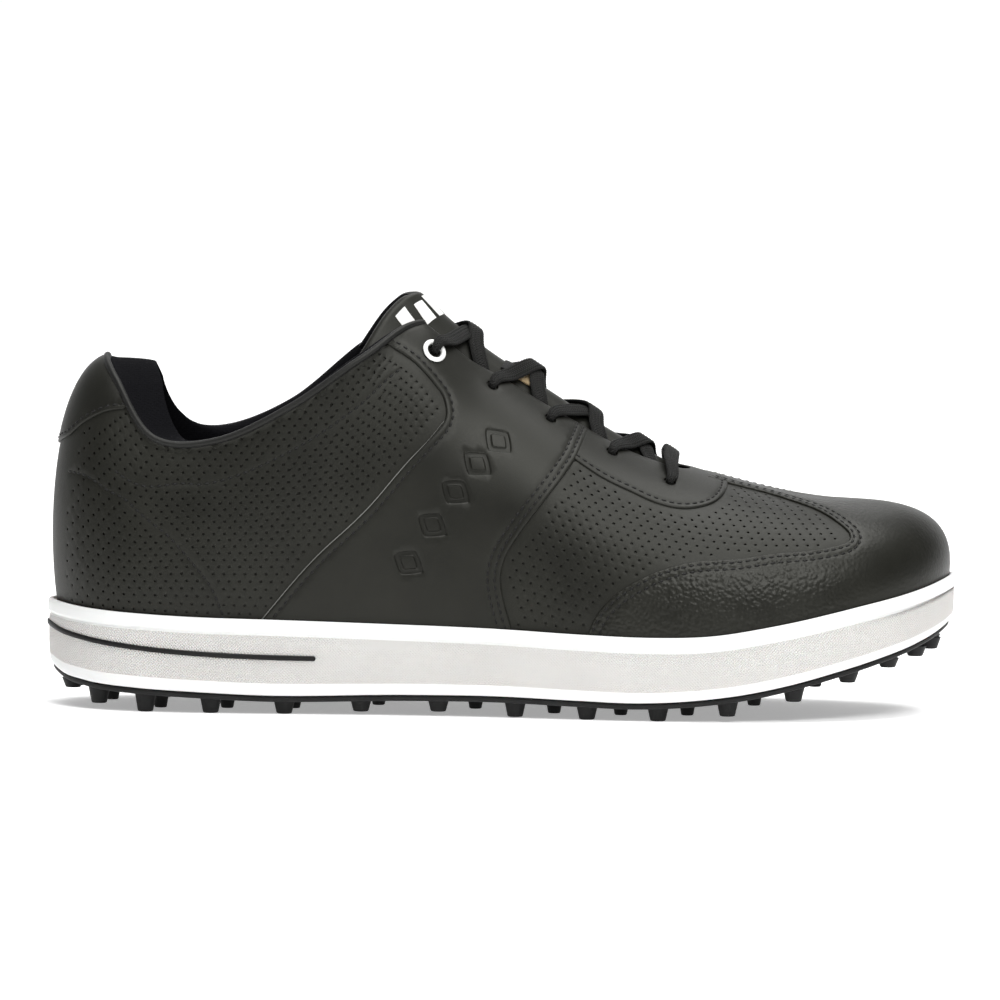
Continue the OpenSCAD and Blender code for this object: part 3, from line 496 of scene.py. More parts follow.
def leather_finish(name, dark, light, grain_scale, grain_depth, rough, pebble=0.0, pebble_scale=900):
    f = Finish(name)
    f.shader.inputs["Specular IOR Level"].default_value = 0.24
    f.shader.inputs["Specular Tint"].default_value = (1.0, 1.0, 0.93, 1)
    blotch = f.noise(38, detail=3.0)
    f.color(f.ramp(blotch, dark, light))
    fine = f.cells(grain_scale, feature="F1")
    creases = f.noise(grain_scale * 0.45, detail=4.0, rough=0.6)
    uneven = f.math("ADD", f.math("MULTIPLY", blotch, 0.6), f.math("MULTIPLY", creases, 0.4))
    f.rough(f.span(uneven, rough - 0.06, rough + 0.08, 0.3, 0.7))
    f.bump(fine, grain_depth)
    f.bump(creases, grain_depth * 1.2)
    if pebble:
        lumps = f.cells(pebble_scale, feature="SMOOTH_F1")
        place = node(f.tree, "ShaderNodeSeparateXYZ")
        f.link(f.coords.outputs["Object"], place.inputs[0])
        worn = f.span(place.outputs["X"], 1.0, TIP_GRAIN, *TIP_FADE)
        f.bump(f.math("MULTIPLY", f.span(lumps, 1.0, 0.0, 0.1, 0.75), worn), pebble)
    return f.material


BLACK_LEATHER = (0.007, 0.007, 0.0055), (0.012, 0.012, 0.0095)
SMOOTH_LEATHER = (0.007, 0.007, 0.0057), (0.012, 0.012, 0.0097)


def grey(level):
    return (level, level, level)


def make_materials():
    m = {}
    m["perforated"] = leather_finish("perforated_leather", *BLACK_LEATHER, 2600, 0.02, 0.46)
    m["smooth"] = leather_finish("smooth_leather", *SMOOTH_LEATHER, 3200, 0.012, 0.42)
    m["pebbled"] = leather_finish("pebbled_leather", *BLACK_LEATHER, 2400, 0.02, 0.38, 0.2, 820)
    m["piping"] = leather_finish("collar_piping", grey(0.006), grey(0.010), 2600, 0.03, 0.5)
    # painted highlight: pale grey finish for the cord that stands in for light caught along the saddle's
    # rear edge
    m["raw_edge"] = leather_finish("painted_edge_highlight", (0.12, 0.12, 0.11), (0.2, 0.2, 0.19), 3000, 0.03, 0.6)
    m["thread"] = thread_finish()
    m["textile"] = knit_finish("lining_textile", (0.0015, 0.0015, 0.002), (0.004, 0.004, 0.005), 1500)
    m["sock"] = knit_finish("sock_textile", (0.02, 0.02, 0.022), (0.035, 0.035, 0.038), 900)
    m["lace"] = lace_finish()
    m["midsole"] = midsole_finish()
    m["wall"] = wall_finish()
    m["outsole"] = rubber_finish("outsole_rubber", grey(0.005), grey(0.010), 0.55)
    m["stripe"] = rubber_finish("stripe_paint", grey(0.004), grey(0.008), 0.5)
    m["eyelet"] = enamel_finish("eyelet_white", (0.80, 0.80, 0.78), 0.25)
    m["print"] = enamel_finish("print_white", (0.78, 0.78, 0.76), 0.45)
    m["keeper"] = keeper_finish()
    m["foam"] = foam_finish()
    m["board"] = board_finish()
    m["stiff"] = rubber_finish("stiffener", (0.55, 0.54, 0.48), (0.65, 0.64, 0.58), 0.7)
    m["steel"] = steel_finish()
    m["aglet"] = rubber_finish("lace_tip", grey(0.012), grey(0.02), 0.2)
    m["web"] = rubber_finish("stay_web", (0.03, 0.03, 0.032), (0.05, 0.05, 0.052), 0.8)
    return m


def thread_finish():
    f = Finish("black_thread")
    twist = f.noise(2500, detail=2.0)
    f.color(f.ramp(twist, (0.004, 0.004, 0.004), (0.012, 0.012, 0.011)))
    f.shader.inputs["Specular IOR Level"].default_value = 0.2
    f.rough(f.span(twist, 0.4, 0.6))
    f.bump(twist, 0.06)
    return f.material


def knit_finish(name, dark, light, scale):
    f = Finish(name, Roughness=0.9)
    f.shader.inputs["Specular IOR Level"].default_value = 0.06
    loops = f.cells(scale, randomness=0.35)
    f.color(f.ramp(loops, dark, light, 0.1, 0.6))
    f.bump(loops, 0.15)
    f.bump(f.noise(scale * 0.5, detail=2.0), 0.1)
    return f.material


def lace_finish():
    f = Finish("lace_cotton", Roughness=0.6)
    f.shader.inputs["Specular IOR Level"].default_value = 0.2
    left = f.waves(0.55, turn=(0, 0, 0.9), stretch=(1, 9, 1))
    right = f.waves(0.55, turn=(0, 0, -0.9), stretch=(1, 9, 1))
    weave = f.math("MAXIMUM", left, right)
    f.color(f.ramp(weave, (0.0015, 0.0015, 0.0015), (0.006, 0.006, 0.005), 0.2, 0.9))
    f.bump(weave, 0.25)
    f.bump(f.noise(2600, detail=2.0), 0.04)
    return f.material


def midsole_finish():
    """Plain white rubber of the cup's rim and foot."""
    f = Finish("midsole_rubber", Roughness=0.5)
    f.shader.inputs["Subsurface Weight"].default_value = 0.05
    dirt = f.noise(30, detail=4.0)
    f.color(f.ramp(dirt, (0.73, 0.72, 0.71), (0.77, 0.76, 0.75)))
    f.bump(f.noise(1500, detail=3.0), 0.02)
    return f.material


def wall_finish():
    """Fine woven texture moulded in the wall, laid out by the UV in millimetres."""
    f = Finish("midsole_weave", Roughness=0.55)
    f.shader.inputs["Subsurface Weight"].default_value = 0.05
    dirt = f.noise(30, detail=4.0)
    one = f.waves(0.42, turn=(0, 0, math.radians(45)))
    two = f.waves(0.42, turn=(0, 0, math.radians(-45)))
    weave = f.math("MULTIPLY", one, two)
    # The wall's base colour is the white rubber painted darker than the rim, as painted shade of the
    # recessed woven wall; the noise only adds random mottling.
    f.color(f.ramp(dirt, (0.60, 0.575, 0.555), (0.65, 0.625, 0.605)))
    f.bump(weave, 0.35)
    f.bump(f.noise(1500, detail=3.0), 0.03)
    return f.material


def rubber_finish(name, dark, light, rough):
    f = Finish(name)
    f.shader.inputs["Specular IOR Level"].default_value = 0.2
    mottle = f.noise(120, detail=4.0)
    f.color(f.ramp(mottle, dark, light))
    f.rough(f.span(mottle, rough - 0.06, rough + 0.06))
    f.bump(f.noise(1800, detail=3.0), 0.02)
    return f.material


def enamel_finish(name, tone, rough):
    f = Finish(name)
    wear = f.noise(400, detail=4.0)
    f.color(f.ramp(wear, tuple(0.93 * c for c in tone), tone))
    f.rough(f.span(wear, rough, rough + 0.1))
    f.bump(f.noise(900, detail=2.0), 0.01)
    return f.material


def keeper_finish():
    """Woven strip: black edges and a tan middle; V runs across it from 0 to 1."""
    f = Finish("keeper_weave", Roughness=0.8)
    split = node(f.tree, "ShaderNodeSeparateXYZ")
    f.link(f.coords.outputs["UV"], split.inputs[0])
    from_middle = f.math("ABSOLUTE", f.math("SUBTRACT", split.outputs[1], 0.5), 0)
    middle = f.math("SUBTRACT", 1.0, f.math("MULTIPLY", from_middle, 2.0))
    f.color(f.ramp(middle, (0.012, 0.012, 0.012), (0.42, 0.31, 0.17), 0.42, 0.5))
    f.bump(f.waves(1.2, stretch=(1, 1, 1)), 0.12)
    f.bump(f.noise(2500, detail=2.0), 0.05)
    return f.material


def foam_finish():
    f = Finish("foam", Roughness=0.9)
    pores = f.cells(900)
    f.color(f.ramp(pores, (0.36, 0.33, 0.26), (0.55, 0.52, 0.44), 0.05, 0.4))
    f.bump(pores, 0.2)
    return f.material


def board_finish():
    f = Finish("board", Roughness=0.85)
    fibre = f.noise(260, detail=5.0, stretch=(1, 6, 1))
    f.color(f.ramp(fibre, (0.36, 0.27, 0.17), (0.5, 0.39, 0.26)))
    f.bump(fibre, 0.05)
    return f.material


def steel_finish():
    f = Finish("steel", Metallic=1.0)
    lines = f.noise(300, detail=3.0, stretch=(0.1, 6, 6))
    f.color(f.ramp(lines, (0.5, 0.5, 0.52), (0.65, 0.65, 0.67)))
    f.rough(f.span(lines, 0.3, 0.45))
    f.bump(lines, 0.01)
    return f.material


# ---------------------------------------------------------------- leather panels

SADDLE_FRONT = [
    (8.58, -0.02), (8.76, 0.12), (8.72, 0.2), (8.5, 0.285), (8.1, 0.42), (7.8, 0.54),
    (7.58, 0.66), (7.46, 0.78), (7.4, 0.89),
]
SADDLE_THROAT = [(7.4, 0.89), (8, 0.875), (8.7, 0.867), (9.3, 0.87), (9.7, 0.925), (9.95, 0.985)]
SADDLE_REAR = [
    (12.0, -0.02), (11.23, 0.22), (10.45, 0.365), (9.85, 0.48), (9.56, 0.565), (9.58, 0.64),
    (9.75, 0.69), (9.98, 0.75), (10.28, 0.845), (10.64, 0.985),
]
EYESTAY_OUT = [
    (7.8, 0.665), (7.57, 0.65), (7.2, 0.627), (6.8, 0.612), (6.45, 0.592), (6.12, 0.592),
    (5.8, 0.622), (5.5, 0.682), (5.28, 0.775), (5.14, 0.885), (5.1, 1),
]
EYESTAY_IN = [
    (7.62, 0.888), (7.36, 0.889), (6.9, 0.886), (6.65, 0.886), (6.4, 0.888), (6.2, 0.893),
    (6, 0.905), (5.88, 0.925), (5.8, 0.955), (5.76, 1),
]
GUARD_SIDE = [
    (7.62, -0.02), (7.45, 0.075), (7.18, 0.155), (6.75, 0.24), (6.35, 0.3), (5.93, 0.34),
    (5.38, 0.355), (4.78, 0.38), (4.23, 0.385), (3.65, 0.41), (3.45, 0.45), (3.4, 0.505),
]
GUARD_TOP = [
    (3.4, 0.505), (3.45, 0.57), (3.6, 0.7), (3.83, 0.785), (4.35, 0.87), (5.1, 0.885), (5.5, 0.89),
]
VAMP_LOW = [
    (3.46, 0.49), (3.6, 0.435), (3.75, 0.41), (4.1, 0.395), (4.6, 0.385), (5, 0.375),
    (5.4, 0.362), (5.8, 0.35), (6.1, 0.33), (6.4, 0.3), (6.8, 0.235), (7.1, 0.175),
    (7.36, 0.105), (7.6, 0.03), (7.9, 0.0), (8.3, 0.0),
]
VAMP_HIGH = [
    (3.46, 0.525), (3.56, 0.62), (3.8, 0.765), (4.35, 0.862), (5.05, 0.877), (5.22, 0.77),
    (5.45, 0.66), (5.8, 0.6), (6.12, 0.57), (6.8, 0.592), (7.54, 0.625), (8.05, 0.41),
    (8.5, 0.26), (8.68, 0.19), (8.7, 0.12), (8.57, 0.0),
]
QUARTER_FRONT = [
    (12.02, -0.02), (11.28, 0.22), (10.5, 0.37), (9.9, 0.487), (9.62, 0.565), (9.63, 0.64),
    (9.8, 0.683), (10.05, 0.75), (10.34, 0.835), (10.7, 0.985),
]
TAB_LOW = [(14.62, 0.985), (14.66, 0.93), (14.92, 0.81), (15.22, 0.69), (15.55, 0.575), (16, 0.515)]
COLLAR_SEAM = [
    (14.45, 0.67), (13.6, 0.775), (13.15, 0.755), (12.7, 0.755), (11.88, 0.765), (11.35, 0.775),
    (10.7, 0.79), (10.35, 0.785),
]
COUNTER_SEAM = [
    (15.33, 0.47), (14.58, 0.55), (14.12, 0.6), (13.55, 0.495), (13.05, 0.305), (12.65, 0.145),
    (12.46, 0.03),
]
RIM = 0.985
FOOT = -0.02
HEEL_SEAM = 15.985
PIT_PITCH = 3.5
PIT_CLEAR = 1.4
LACE_HOLES = [(6.18, 0.745), (7.03, 0.805), (7.98, 0.795), (8.88, 0.785), (9.78, 0.82)]
TOP_HOLE = len(LACE_HOLES) - 1
HOLE_R = 2.1

OVERLAY_BACK = 0.78
BASE_FRONT = 0.8
BASE_BACK = 1.5
BASE_STEP = 1.75


def side_plane(q):
    """Flat working plane for panels that lie on one side or cross the throat."""
    return np.stack([q[:, 0] * 20, q[:, 1] * 90], -1)


def toe_plane(q):
    """Flat working plane seen from above, spread out so that nothing folds."""
    inner = q[:, 1] > 1
    station = np.where(inner, STATIONS - q[:, 0], q[:, 0])
    t = np.where(inner, 2 - q[:, 1], q[:, 1])[:, None]
    top = around(UPPER, station)[:, 3, :2].copy()
    top[:, 1] = 0
    return top * t + (edge_point(station) + edge_out(station) * 45) * (1 - t)


def inside(polygon, q):
    """Which points q lie inside the closed polygon."""
    x, y = q[:, 0][:, None], q[:, 1][:, None]
    a, b = polygon, np.roll(polygon, -1, 0)
    over = (a[None, :, 1] > y) != (b[None, :, 1] > y)
    rise = b[None, :, 1] - a[None, :, 1]
    run = b[None, :, 0] - a[None, :, 0]
    cut = a[None, :, 0] + (y - a[None, :, 1]) * run / np.where(rise == 0, 1e-12, rise)
    return (over & (x < cut)).sum(1) % 2 == 1


def nearest(points, others):
    """Distance from each point to the nearest of the others."""
    if not len(others):
        return np.full(len(points), 1e9)
    out = np.empty(len(points))
    for k in range(0, len(points), 500):
        part = points[k:k + 500]
        out[k:k + 500] = np.sqrt(((part[:, None] - others[None]) ** 2).sum(-1).min(1))
    return out


def edge_profile(d, drop, width):
    """How far a cut and turned edge rounds down at distance d from it."""
    f = np.clip(1 - d / width, 0, 1)
    return drop * (1 - np.sqrt(np.maximum(1 - f * f, 0)))


def fill_rows(low, high, p_range, step):
    """Staggered places over a range of stations and height fractions, a step apart."""
    rows = []
    mid = 0.5 * (p_range[0] + p_range[1])
    hs = respaced(np.array([(mid, h) for h in np.linspace(low, high, 160)]), step * 0.87)[:, 1]
    for k, h in enumerate(hs):
        line = respaced(np.array([(p, h) for p in np.linspace(*p_range, 120)]), step)
        if k % 2 and len(line) > 2:
            line = 0.5 * (line[1:] + line[:-1])
        rows.append(line)
    return np.vstack(rows)


class Panel:
    """One cut piece of leather lying on the upper."""

    step = 1.9

    def __init__(self, outline, plane=side_plane, front=0.0, back=OVERLAY_BACK, drop=0.42, width=0.9):
        self.plane, self.front, self.back, self.drop, self.width = plane, front, back, drop, width
        self.outline = outline
        self.edge = upper(outline[:, 0], outline[:, 1])
        self.polygon = plane(outline)
        self.q = [outline]
        self.depth = [np.full(len(outline), drop)]
        self.taken = [self.edge]
        self.seams = []

    def add(self, q, depth, keep_from_edge=0.0, keep_apart=0.0):
        ok = inside(self.polygon, self.plane(q))
        x = upper(q[:, 0], q[:, 1])
        ok &= nearest(x, self.edge) > keep_from_edge
        if keep_apart:
            ok[ok] = nearest(x[ok], np.vstack(self.taken[1:] or [np.zeros((0, 3))])) > keep_apart
        self.q.append(q[ok])
        self.depth.append(np.broadcast_to(depth, (len(q),))[ok])
        self.taken.append(x[ok])

    def rings(self, parts):
        """Rows just inside the edge, which round it off."""
        for d in parts:
            for chain in self.edges:
                for sign in (1, -1):
                    row = offset(chain, sign * d)
                    x = upper(row[:, 0], row[:, 1])
                    good = inside(self.polygon, self.plane(row)) & (nearest(x, self.edge) > 0.8 * d)
                    row = row[good]
                    self.q.append(row)
                    self.depth.append(edge_profile(np.full(len(row), d), self.drop, self.width))
                    self.taken.append(upper(row[:, 0], row[:, 1]))

    def seam(self, chain, deep=0.22, half=0.5):
        """A stitched groove along a chain."""
        line = respaced(chain, 1.0)
        for d, f in ((-half, 0.15), (0, 1.0), (half, 0.15)):
            row = offset(line, d) if d else line
            self.add(row, deep * f, 0.7)
        self.seams.append(upper(line[:, 0], line[:, 1]))

    def pits(self, centres, radius, deep, sides=8, clear=0.9, seam_clear=0.9, lip=0.04):
        """Punched holes, each a small round well; too near an edge or a seam they are left out."""
        x = upper(centres[:, 0], centres[:, 1])
        ok = inside(self.polygon, self.plane(centres)) & (nearest(x, self.edge) > radius + clear)
        for s in self.seams:
            ok &= nearest(x, s) > radius + seam_clear
        centres = centres[ok]
        if not len(centres):
            return centres
        n = upper_out(centres[:, 0], centres[:, 1])
        e = unit(np.cross(n, np.array([0.0, 0.0, 1.0])))
        g = np.cross(n, e)
        self.q.append(centres)
        self.depth.append(np.full(len(centres), deep))
        for r, d in ((1.3 * radius, 0.0), (radius, lip), (0.84 * radius, deep)):
            for a in np.arange(sides) * 2 * math.pi / sides:
                row = shifted(centres, (e * math.cos(a) + g * math.sin(a)) * r)
                self.q.append(row)
                self.depth.append(np.full(len(row), d))
        self.pit_centres = upper(centres[:, 0], centres[:, 1])
        self.taken.append(self.pit_centres)
        self.pit_clear = 1.3 * radius + 0.35
        return centres

    def fill(self, ranges, step=None):
        step = step or self.step
        for low, high, p_range in ranges:
            q = fill_rows(low, high, p_range, step)
            x = upper(q[:, 0], q[:, 1])
            ok = inside(self.polygon, self.plane(q))
            q, x = q[ok], x[ok]
            ok = nearest(x, self.edge) > self.width + 0.35 * step
            q, x = q[ok], x[ok]
            if getattr(self, "pit_centres", None) is not None:
                ok = nearest(x, self.pit_centres) > self.pit_clear
                q, x = q[ok], x[ok]
            others = np.vstack(self.taken[1:]) if len(self.taken) > 1 else np.zeros((0, 3))
            ok = nearest(x, others) > 0.5 * step
            self.q.append(q[ok])
            self.depth.append(np.zeros(ok.sum()))
            self.taken.append(x[ok])

    def solid(self, sag=None):
        q = np.vstack(self.q)
        depth = np.concatenate(self.depth)
        flat = self.plane(q)
        n = len(self.outline)
        loop = [(i, (i + 1) % n) for i in range(n)]
        verts, _, tris, origin, _, _ = delaunay_2d_cdt([Vector(v) for v in flat], loop, [], 1, 1e-4)
        pick = np.array([o[0] if o else -1 for o in origin])
        lost = np.where(pick < 0)[0]
        for i in lost:
            pick[i] = int(((flat - np.array(verts[i])) ** 2).sum(1).argmin())
        q, depth = q[pick], depth[pick]
        tris = [list(t) for t in tris if len(set(pick[list(t)])) == 3]
        out = upper_out(q[:, 0], q[:, 1])
        base = upper(q[:, 0], q[:, 1])
        if sag is not None:
            depth = depth + sag(q, base)
        outer = base - out * (self.front + depth)[:, None]
        inner = base - out * self.back
        a, b, c = (outer[[t[k] for t in tris]] for k in range(3))
        turn = (np.cross(b - a, c - a) * out[[t[0] for t in tris]]).sum()
        if turn < 0:
            tris = flipped(tris)
        count = len(q)
        faces = tris + [[t[2] + count, t[1] + count, t[0] + count] for t in tris]
        seen = {}
        for t in tris:
            for u, v in ((t[0], t[1]), (t[1], t[2]), (t[2], t[0])):
                if (v, u) in seen:
                    del seen[(v, u)]
                else:
                    seen[(u, v)] = True
        faces += [[v, u, u + count, v + count] for u, v in seen]
        uv = np.vstack([flat, flat])
        return np.vstack([outer, inner]), faces, uv


def closed(chains, step=0.9):
    """Closed outline from chains joined end to end, and the chains themselves."""
    parts = [respaced(c, step) for c in chains]
    return np.vstack([c[:-1] for c in parts]), parts


def panel(chains, fill, seams=(), pits=None, holes=(), plane=side_plane, front=0.0, back=OVERLAY_BACK,
          drop=0.42, extra=None, sag=None, step=None):
    outline, parts = closed(chains)
    made = Panel(outline, plane, front, back, drop)
    made.edges = parts
    made.rings((0.12, 0.35, 0.75))
    for chain in seams:
        made.seam(chain)
    if len(holes):
        made.pits(np.array(holes), HOLE_R, 1.6, 20, 0.6, 0.2, 0.1)
    if extra:
        extra(made)
    if pits is not None:
        made.pits(pits, 0.45, 0.62)
    made.fill(fill, step)
    return made.solid(sag)


def flip_if(chain, inner):
    return mirrored(chain) if inner else np.array(chain, float)


def lattice(p_range, pitch, row, tilt, inner):
    """Perforation places: rows at a tilt on the side view of the upper."""
    x0 = upper(p_range[1], 0.3)[0]
    x1 = upper(p_range[0], 0.3)[0]
    places = []
    rows = int(120 / row)
    for j in range(rows):
        b = 2.0 + j * row
        for x in np.arange(x0 - 40, x1 + 60, pitch):
            places.append((x + (j % 2) * pitch / 2, b))
    c = np.array(places)
    pivot = x0
    turned = np.stack([
        (c[:, 0] - pivot) * math.cos(tilt) - (c[:, 1] - 30) * math.sin(tilt) + pivot,
        (c[:, 0] - pivot) * math.sin(tilt) + (c[:, 1] - 30) * math.cos(tilt) + 30,
    ], -1)
    return to_places(turned, p_range, inner)


def to_places(c, p_range, inner):
    """Station and height fraction for each (x, distance up the side)."""
    ps = np.linspace(p_range[0], p_range[1], 60)
    side = (lambda h: 2 - h) if inner else (lambda h: h)
    hs = np.linspace(0, 1, 40)
    table = np.array([upper(p, side(hs)) for p in ps])
    length = np.array([arc(t)[-1] for t in table])
    p = np.interp(-c[:, 0], -table[:, 12, 0], ps)
    for _ in range(8):
        h = np.clip(c[:, 1] / np.interp(p, ps, length), 0, 1)
        x = upper(p, side(h))[:, 0]
        slope = (upper(p + 0.05, side(h))[:, 0] - upper(p - 0.05, side(h))[:, 0]) / 0.1
        slope = np.where(abs(slope) < 3, -3, slope)
        p = np.clip(p - (x - c[:, 0]) / slope, p_range[0] - 0.5, p_range[1] + 0.5)
    h = c[:, 1] / np.interp(p, ps, length)
    x = upper(p, side(np.clip(h, 0, 1)))[:, 0]
    ok = (h > 0.02) & (h < 0.99) & (abs(x - c[:, 0]) < 0.5) & (p > p_range[0]) & (p < p_range[1])
    return np.stack([p[ok], side(h[ok])], -1)


# ---------------------------------------------------------------- stitching


STITCH_SINK = 0.28
STITCH_BOW = 0.36
THREAD_SIDES = 6
THREAD_RINGS = 7
THREAD_END = 0.45
THREAD_FLAT = 0.8


def stitches(chain, depth, pitch=2.7, length=2.0, width=0.36):
    """A row of stitches, each a small bowed thread sunk at both ends."""
    line = respaced(chain, pitch)
    x, t, n, side = frames(line)
    angle = np.arange(THREAD_SIDES) * 2 * math.pi / THREAD_SIDES
    points = []
    for r in np.linspace(-1, 1, THREAD_RINGS):
        bow = 1 - r * r
        size = width * (THREAD_END + (1 - THREAD_END) * math.sqrt(bow))
        centre = x + t * (r * length / 2) - n * (depth + STITCH_SINK - STITCH_BOW * bow)
        for a in angle:
            points.append(centre + side * (math.cos(a) * size) + n * (math.sin(a) * size * THREAD_FLAT))
    pts = np.stack(points, 1)
    last = (THREAD_RINGS - 1) * THREAD_SIDES
    faces = grid_faces(THREAD_RINGS, THREAD_SIDES, wrap_cols=True)
    faces = faces + [list(range(THREAD_SIDES))[::-1], list(range(last, last + THREAD_SIDES))]
    if volume_sign(pts[0] - pts[0].mean(0), faces) < 0:
        faces = flipped(faces)
    return joined([(q, faces) for q in pts])


# ---------------------------------------------------------------- upper, collar and tongue

PANEL_SHARP = 50
STITCH_DEPTH = 0.12
SADDLE_FRONT_SEAMS = (1.9, 4.2)
SADDLE_REAR_SEAM = 2.3
EYESTAY_SEAM = 1.9
GUARD_SEAMS = (1.3, 3.6)
TAB_SEAM = 1.7


def finished(name, made, finish, replaces):
    """A panel's mesh as a piece that stands in for its CAD node."""
    pts, faces, uv = made
    piece = collect(name, pts, faces, finish, uv=uv, flat=PANEL_SHARP)
    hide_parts(replaces)


def heights(inner):
    """Range of height fractions of one side of the upper."""
    return (1, 2) if inner else (0, 1)


def build_saddle(m, label, inner):
    front, rear = flip_if(curve(SADDLE_FRONT), inner), flip_if(curve(SADDLE_REAR), inner)
    chains = [
        front,
        flip_if(curve(SADDLE_THROAT), inner),
        flip_if(np.array([(9.95, RIM), (10.64, RIM)]), inner),
        rear[::-1],
        flip_if(np.array([(12.0, FOOT), (8.58, FOOT)]), inner),
    ]
    turn = -1 if inner else 1
    rows = [(front, d) for d in SADDLE_FRONT_SEAMS] + [(rear, -SADDLE_REAR_SEAM)]
    seams = [offset(respaced(edge, 1.0), turn * d)[2:-2] for edge, d in rows]
    holes = [flip_if([q], inner)[0] for q in LACE_HOLES[2:]]
    made = panel(chains, [(*heights(inner), (7.2, 12.2))], seams=seams, holes=holes,
                 extra=lambda sheet: emboss(sheet, inner))
    finished(f"saddle_{label}_panel", made, m["smooth"], f"saddle_{label}")
    return [stitches(s, STITCH_DEPTH) for s in seams]


def build_vamp(m, label, inner):
    shown = flip_if(np.vstack([curve(VAMP_LOW)[:-1], curve(VAMP_HIGH)[::-1]]), inner)
    pits = lattice((3.3, 8.9), PIT_PITCH, 2.6, math.radians(-10), inner)
    made = panel(
        [grown(shown, 3.0)], [(*heights(inner), (3.0, 9.2))],
        pits=within(pits, shown, PIT_CLEAR), front=BASE_FRONT, back=BASE_BACK, step=BASE_STEP,
    )
    finished(f"vamp_{label}_panel", made, m["perforated"], f"vamp_{label}")


def build_quarter(m, label, inner):
    front_edge = offset(flip_if(curve(QUARTER_FRONT), inner), (3.0 if inner else -3.0))
    rim, foot = (2 - RIM, 2 - FOOT) if inner else (RIM, FOOT)
    front_edge[:, 1] = np.clip(front_edge[:, 1], min(rim, foot), max(rim, foot))
    front_edge[0, 1], front_edge[-1, 1] = foot, rim
    chains = [
        front_edge,
        np.array([(front_edge[-1, 0], rim), (HEEL_SEAM, rim)]),
        np.array([(HEEL_SEAM, rim), (HEEL_SEAM, foot)]),
        np.array([(HEEL_SEAM, foot), (front_edge[0, 0], foot)]),
    ]
    seams = [flip_if(curve(COLLAR_SEAM), inner), flip_if(curve(COUNTER_SEAM), inner)]
    pits = lattice((9.3, 15.25), PIT_PITCH, 2.3, 0.0, inner)
    shown = flip_if(np.vstack([curve(QUARTER_FRONT), [(15.8, RIM), (15.8, FOOT)]]), inner)
    made = panel(
        chains, [(*heights(inner), (9.3, 15.98))], seams=seams,
        pits=off_tab(within(pits, shown, PIT_CLEAR)), front=BASE_FRONT, back=BASE_BACK, step=BASE_STEP,
    )
    finished(f"quarter_{label}_panel", made, m["perforated"], f"quarter_{label}")
    return [stitches(s, BASE_FRONT + STITCH_DEPTH, width=0.34) for s in seams]


def build_eyestay(m):
    front, back = 0.15, 0.85
    out, inn = both_sides(curve(EYESTAY_OUT)), both_sides(curve(EYESTAY_IN))
    chains = [out, np.array([out[-1], inn[-1]]), inn[::-1], np.array([inn[0], out[0]])]
    seams = [offset(respaced(out, 1.0), EYESTAY_SEAM)[3:-3]]
    holes = LACE_HOLES[:2] + [(p, 2 - h) for p, h in LACE_HOLES[:2]]
    made = panel(chains, [(0.5, 1.5, (4.9, 7.9))], seams=seams, holes=holes, front=front, back=back)
    finished("eyestay_panel", made, m["smooth"], "eyestay_front")
    return [stitches(s, front + STITCH_DEPTH) for s in seams]


def build_guard(m):
    side, top = curve(GUARD_SIDE), curve(GUARD_TOP)
    foot = np.array([(p, FOOT) for p in np.linspace(7.62, 0, 60)])
    chains = [
        mirrored(foot)[::-1], mirrored(side), mirrored(top),
        np.array([(5.5, 1.11), (5.5, 0.89)]), top[::-1], side[::-1], foot,
    ]
    edge = np.vstack([side, top[1:]])
    seams = []
    for inner in (False, True):
        row = respaced(flip_if(edge, inner), 1.0)
        turn = 1 if inner else -1
        seams += [tidy_offset(row, turn * d, d)[3:-3] for d in GUARD_SEAMS]
    made = panel(chains, [(0.0, 1.0, (0.0, 7.7)), (1.04, 2.0, (0.12, 7.7))], seams=seams, plane=toe_plane)
    finished("toe_guard_panel", made, m["pebbled"], "toe_guard")
    return [stitches(s, STITCH_DEPTH) for s in seams]


def build_tab(m):
    low = round_heel(curve(TAB_LOW))
    chains = [low, np.array([(2 * HEEL - 14.62, RIM), (14.62, RIM)])]
    seams = [offset(respaced(low, 1.0), -TAB_SEAM)[2:-2]]
    made = panel(chains, [(0.45, 1.0, (14.3, 17.7))], seams=seams)
    finished("heel_tab_panel", made, m["smooth"], "heel_tab")
    return [stitches(s, STITCH_DEPTH) for s in seams]


def build_upper(m):
    thread = []
    for label, inner in (("lateral", False), ("medial", True)):
        thread += build_saddle(m, label, inner)
        build_vamp(m, label, inner)
        thread += build_quarter(m, label, inner)
    build_edge_highlight(m)
    thread += build_eyestay(m) + build_guard(m) + build_tab(m)
    pts, faces = joined(thread)
    piece = collect("upper_stitching", pts, faces, m["thread"])


def build_edge_highlight(m):
    """A thin pale cord along the lower part of the saddle's rear seam: a painted highlight where the
    leather's edge catches light.
    """
    parts = []
    for inner in (False, True):
        chain = respaced(flip_if(curve(SADDLE_REAR[:5]), inner), 1.5)
        chain = offset(chain, -0.12 if inner else 0.12)
        n = upper_out(chain[:, 0], chain[:, 1])
        path = upper(chain[:, 0], chain[:, 1]) - n * 0.5
        taper = np.clip((len(path) - 1 - np.arange(len(path))) / 12, 0.35, 1)
        pts, faces, _ = swept(path, n, 0.36 * taper, 0.16 * taper, 8)
        parts.append((pts, faces))
    pts, faces = joined(parts)
    piece = collect("saddle_edge_highlight", pts, faces, m["raw_edge"])


def tidy_offset(chain, distance, reach):
    """Offset chain without the points that come too near the chain itself."""
    row = offset(chain, distance)
    x = upper(row[:, 0], row[:, 1])
    return row[nearest(x, upper(chain[:, 0], chain[:, 1])) > 0.93 * reach]


